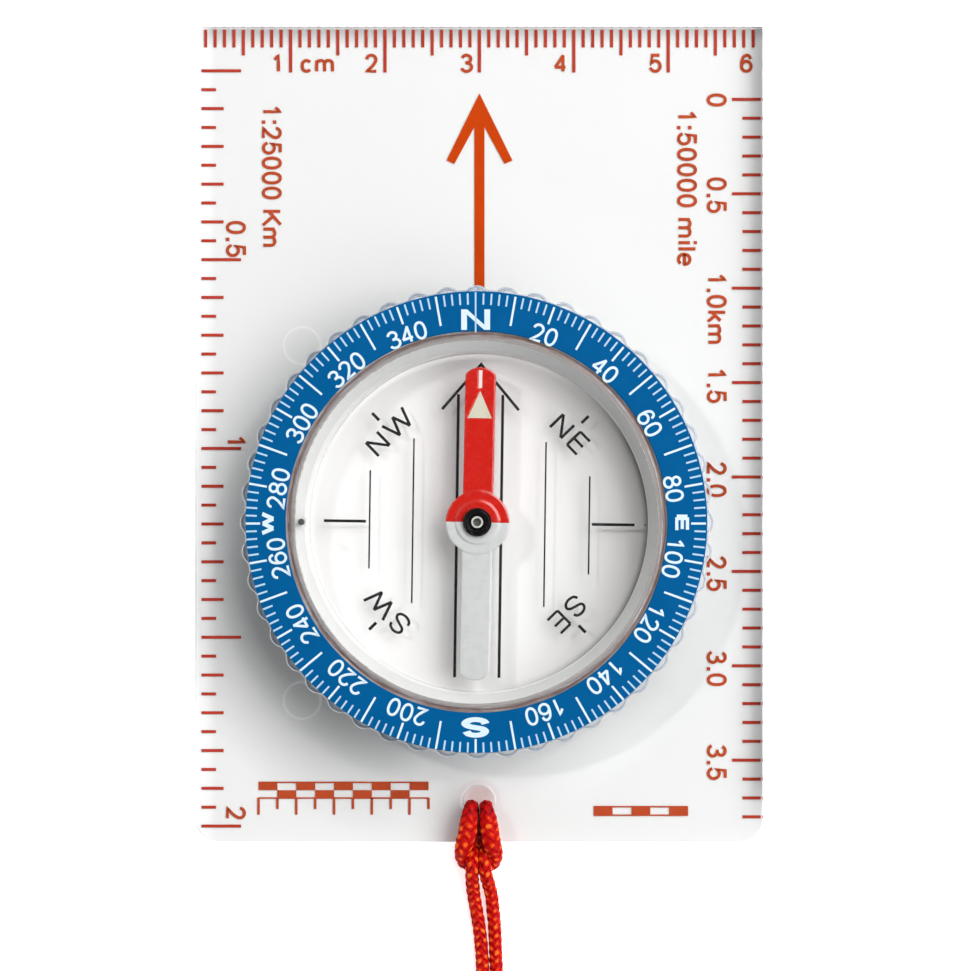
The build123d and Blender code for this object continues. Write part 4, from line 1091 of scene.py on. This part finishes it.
# the moulding marks throw faint rings of light, seen only in the shadow on the left
mx = fm.math("SUBTRACT", ax, 18.8 * MM)
my = fm.math("SUBTRACT", fm.math("ABSOLUTE", fq.outputs["Y"]), 18.8 * MM)
mr = fm.math("SQRT", fm.math("ADD", fm.math("MULTIPLY", mx, mx), fm.math("MULTIPLY", my, my)))
marks = fm.math("MULTIPLY", fm.range(mr, 0.0, 0.11, 1.76 * MM, 1.90 * MM), fm.range(mr, 1.0, 0.0, 2.00 * MM, 2.14 * MM))
glow = fm.math("ADD", glow, fm.math("MULTIPLY", marks, fm.range(fq.outputs["X"], 1.0, 0.0, -8.0 * MM, 0.0)))
glow = fm.math("MAXIMUM", glow, fm.math("MULTIPLY", outside, 0.62))
em = fm.node("ShaderNodeEmission", ins={"Color": (1, 1, 1, 1), "Strength": glow})
es = fm.node("ShaderNodeAddShader", ins={0: fp.outputs[0], 1: em.outputs[0]})
fm.link(es.outputs[0], fm.out.inputs["Surface"])
me.materials.append(fm.m)

# world: pale at the horizon, dimmer overhead, so that level surfaces don't mirror a white sky
world = bpy.data.worlds.new("studio")
scene.world = world
world.use_nodes = True
wn = world.node_tree
wn.nodes.clear()
wo = wn.nodes.new("ShaderNodeOutputWorld")
bg = wn.nodes.new("ShaderNodeBackground")
tc = wn.nodes.new("ShaderNodeTexCoord")
sep = wn.nodes.new("ShaderNodeSeparateXYZ")
rp = wn.nodes.new("ShaderNodeValToRGB")
wn.links.new(tc.outputs["Generated"], sep.inputs[0])
wn.links.new(sep.outputs["Z"], rp.inputs["Fac"])
rp.color_ramp.elements[0].position = 0.0
rp.color_ramp.elements[0].color = (0.92, 0.93, 0.95, 1)
rp.color_ramp.elements[1].position = 0.80
rp.color_ramp.elements[1].color = (0.03, 0.03, 0.032, 1)
wn.links.new(rp.outputs["Color"], bg.inputs["Color"])
bg.inputs["Strength"].default_value = 0.74
wn.links.new(bg.outputs[0], wo.inputs["Surface"])


def area(name, loc, target, size, power, color=(1, 1, 1)):
    d = bpy.data.lights.new(name, "AREA")
    d.shape = "RECTANGLE"
    d.size, d.size_y = size
    d.energy = power
    d.color = color
    o = bpy.data.objects.new(name, d)
    scene.collection.objects.link(o)
    o.location = loc
    o.rotation_euler = (Vector(target) - Vector(loc)).to_track_quat("-Z", "Y").to_euler()
    return o


KD, KEL, KAZ = 0.70, math.radians(53.0), math.radians(28.0)
area("key", (KD * math.cos(KEL) * math.cos(KAZ), KD * math.cos(KEL) * math.sin(KAZ), KD * math.sin(KEL)), (0, 0.005, 0), (0.86, 0.56),
     5.68, (1.0, 0.997, 0.99))
area("spark", (0.50 * math.cos(math.radians(38.0)), 0.50 * math.sin(math.radians(38.0)), 0.72), (0, 0, 0), (0.05, 0.05), 0.52, (1.0, 0.99, 0.96))
area("fill", (0.40, -0.42, 0.44), (0, 0, 0), (0.5, 0.4), 1.02, (0.97, 0.985, 1.0))
area("rim", (-0.34, 0.22, 0.60), (0, 0, 0), (0.05, 0.05), 0.90, (1.0, 0.99, 0.97))

# camera: straight down over the plate, its axis to the right of and below the dial
D = 470.0
SCALE = 9.44
XN, YN = 715.0, 600.0
f_px = SCALE * (D - 0.82)
cam = bpy.data.cameras.new("camera")
cam.sensor_fit = "HORIZONTAL"
cam.sensor_width = 36.0
cam.lens = f_px * 36.0 / 970.0
cam.clip_start = 0.01
cam.clip_end = 20.0
co = bpy.data.objects.new("camera", cam)
co.location = ((XN - 479.5) / SCALE * MM, (523.0 - YN) / SCALE * MM, D * MM)
scene.collection.objects.link(co)
scene.camera = co
# the lens is shifted only while the camera stands at its own height over the plate
for prop, value in (("shift_x", (485.0 - XN) / 970.0), ("shift_y", (YN - 485.5) / 970.0)):
    setattr(cam, prop, value)
    dr = cam.driver_add(prop).driver
    dr.type = "SCRIPTED"
    var = dr.variables.new()
    var.name = "h"
    var.targets[0].id = co
    var.targets[0].data_path = "location[2]"
    dr.expression = "%.6f if abs(h - %.4f) < 0.0005 else 0.0" % (value, D * MM)
scene.view_settings.view_transform = "Standard"
scene.view_settings.look = "None"
scene.view_settings.exposure = 0.0
scene.view_settings.gamma = 1.0
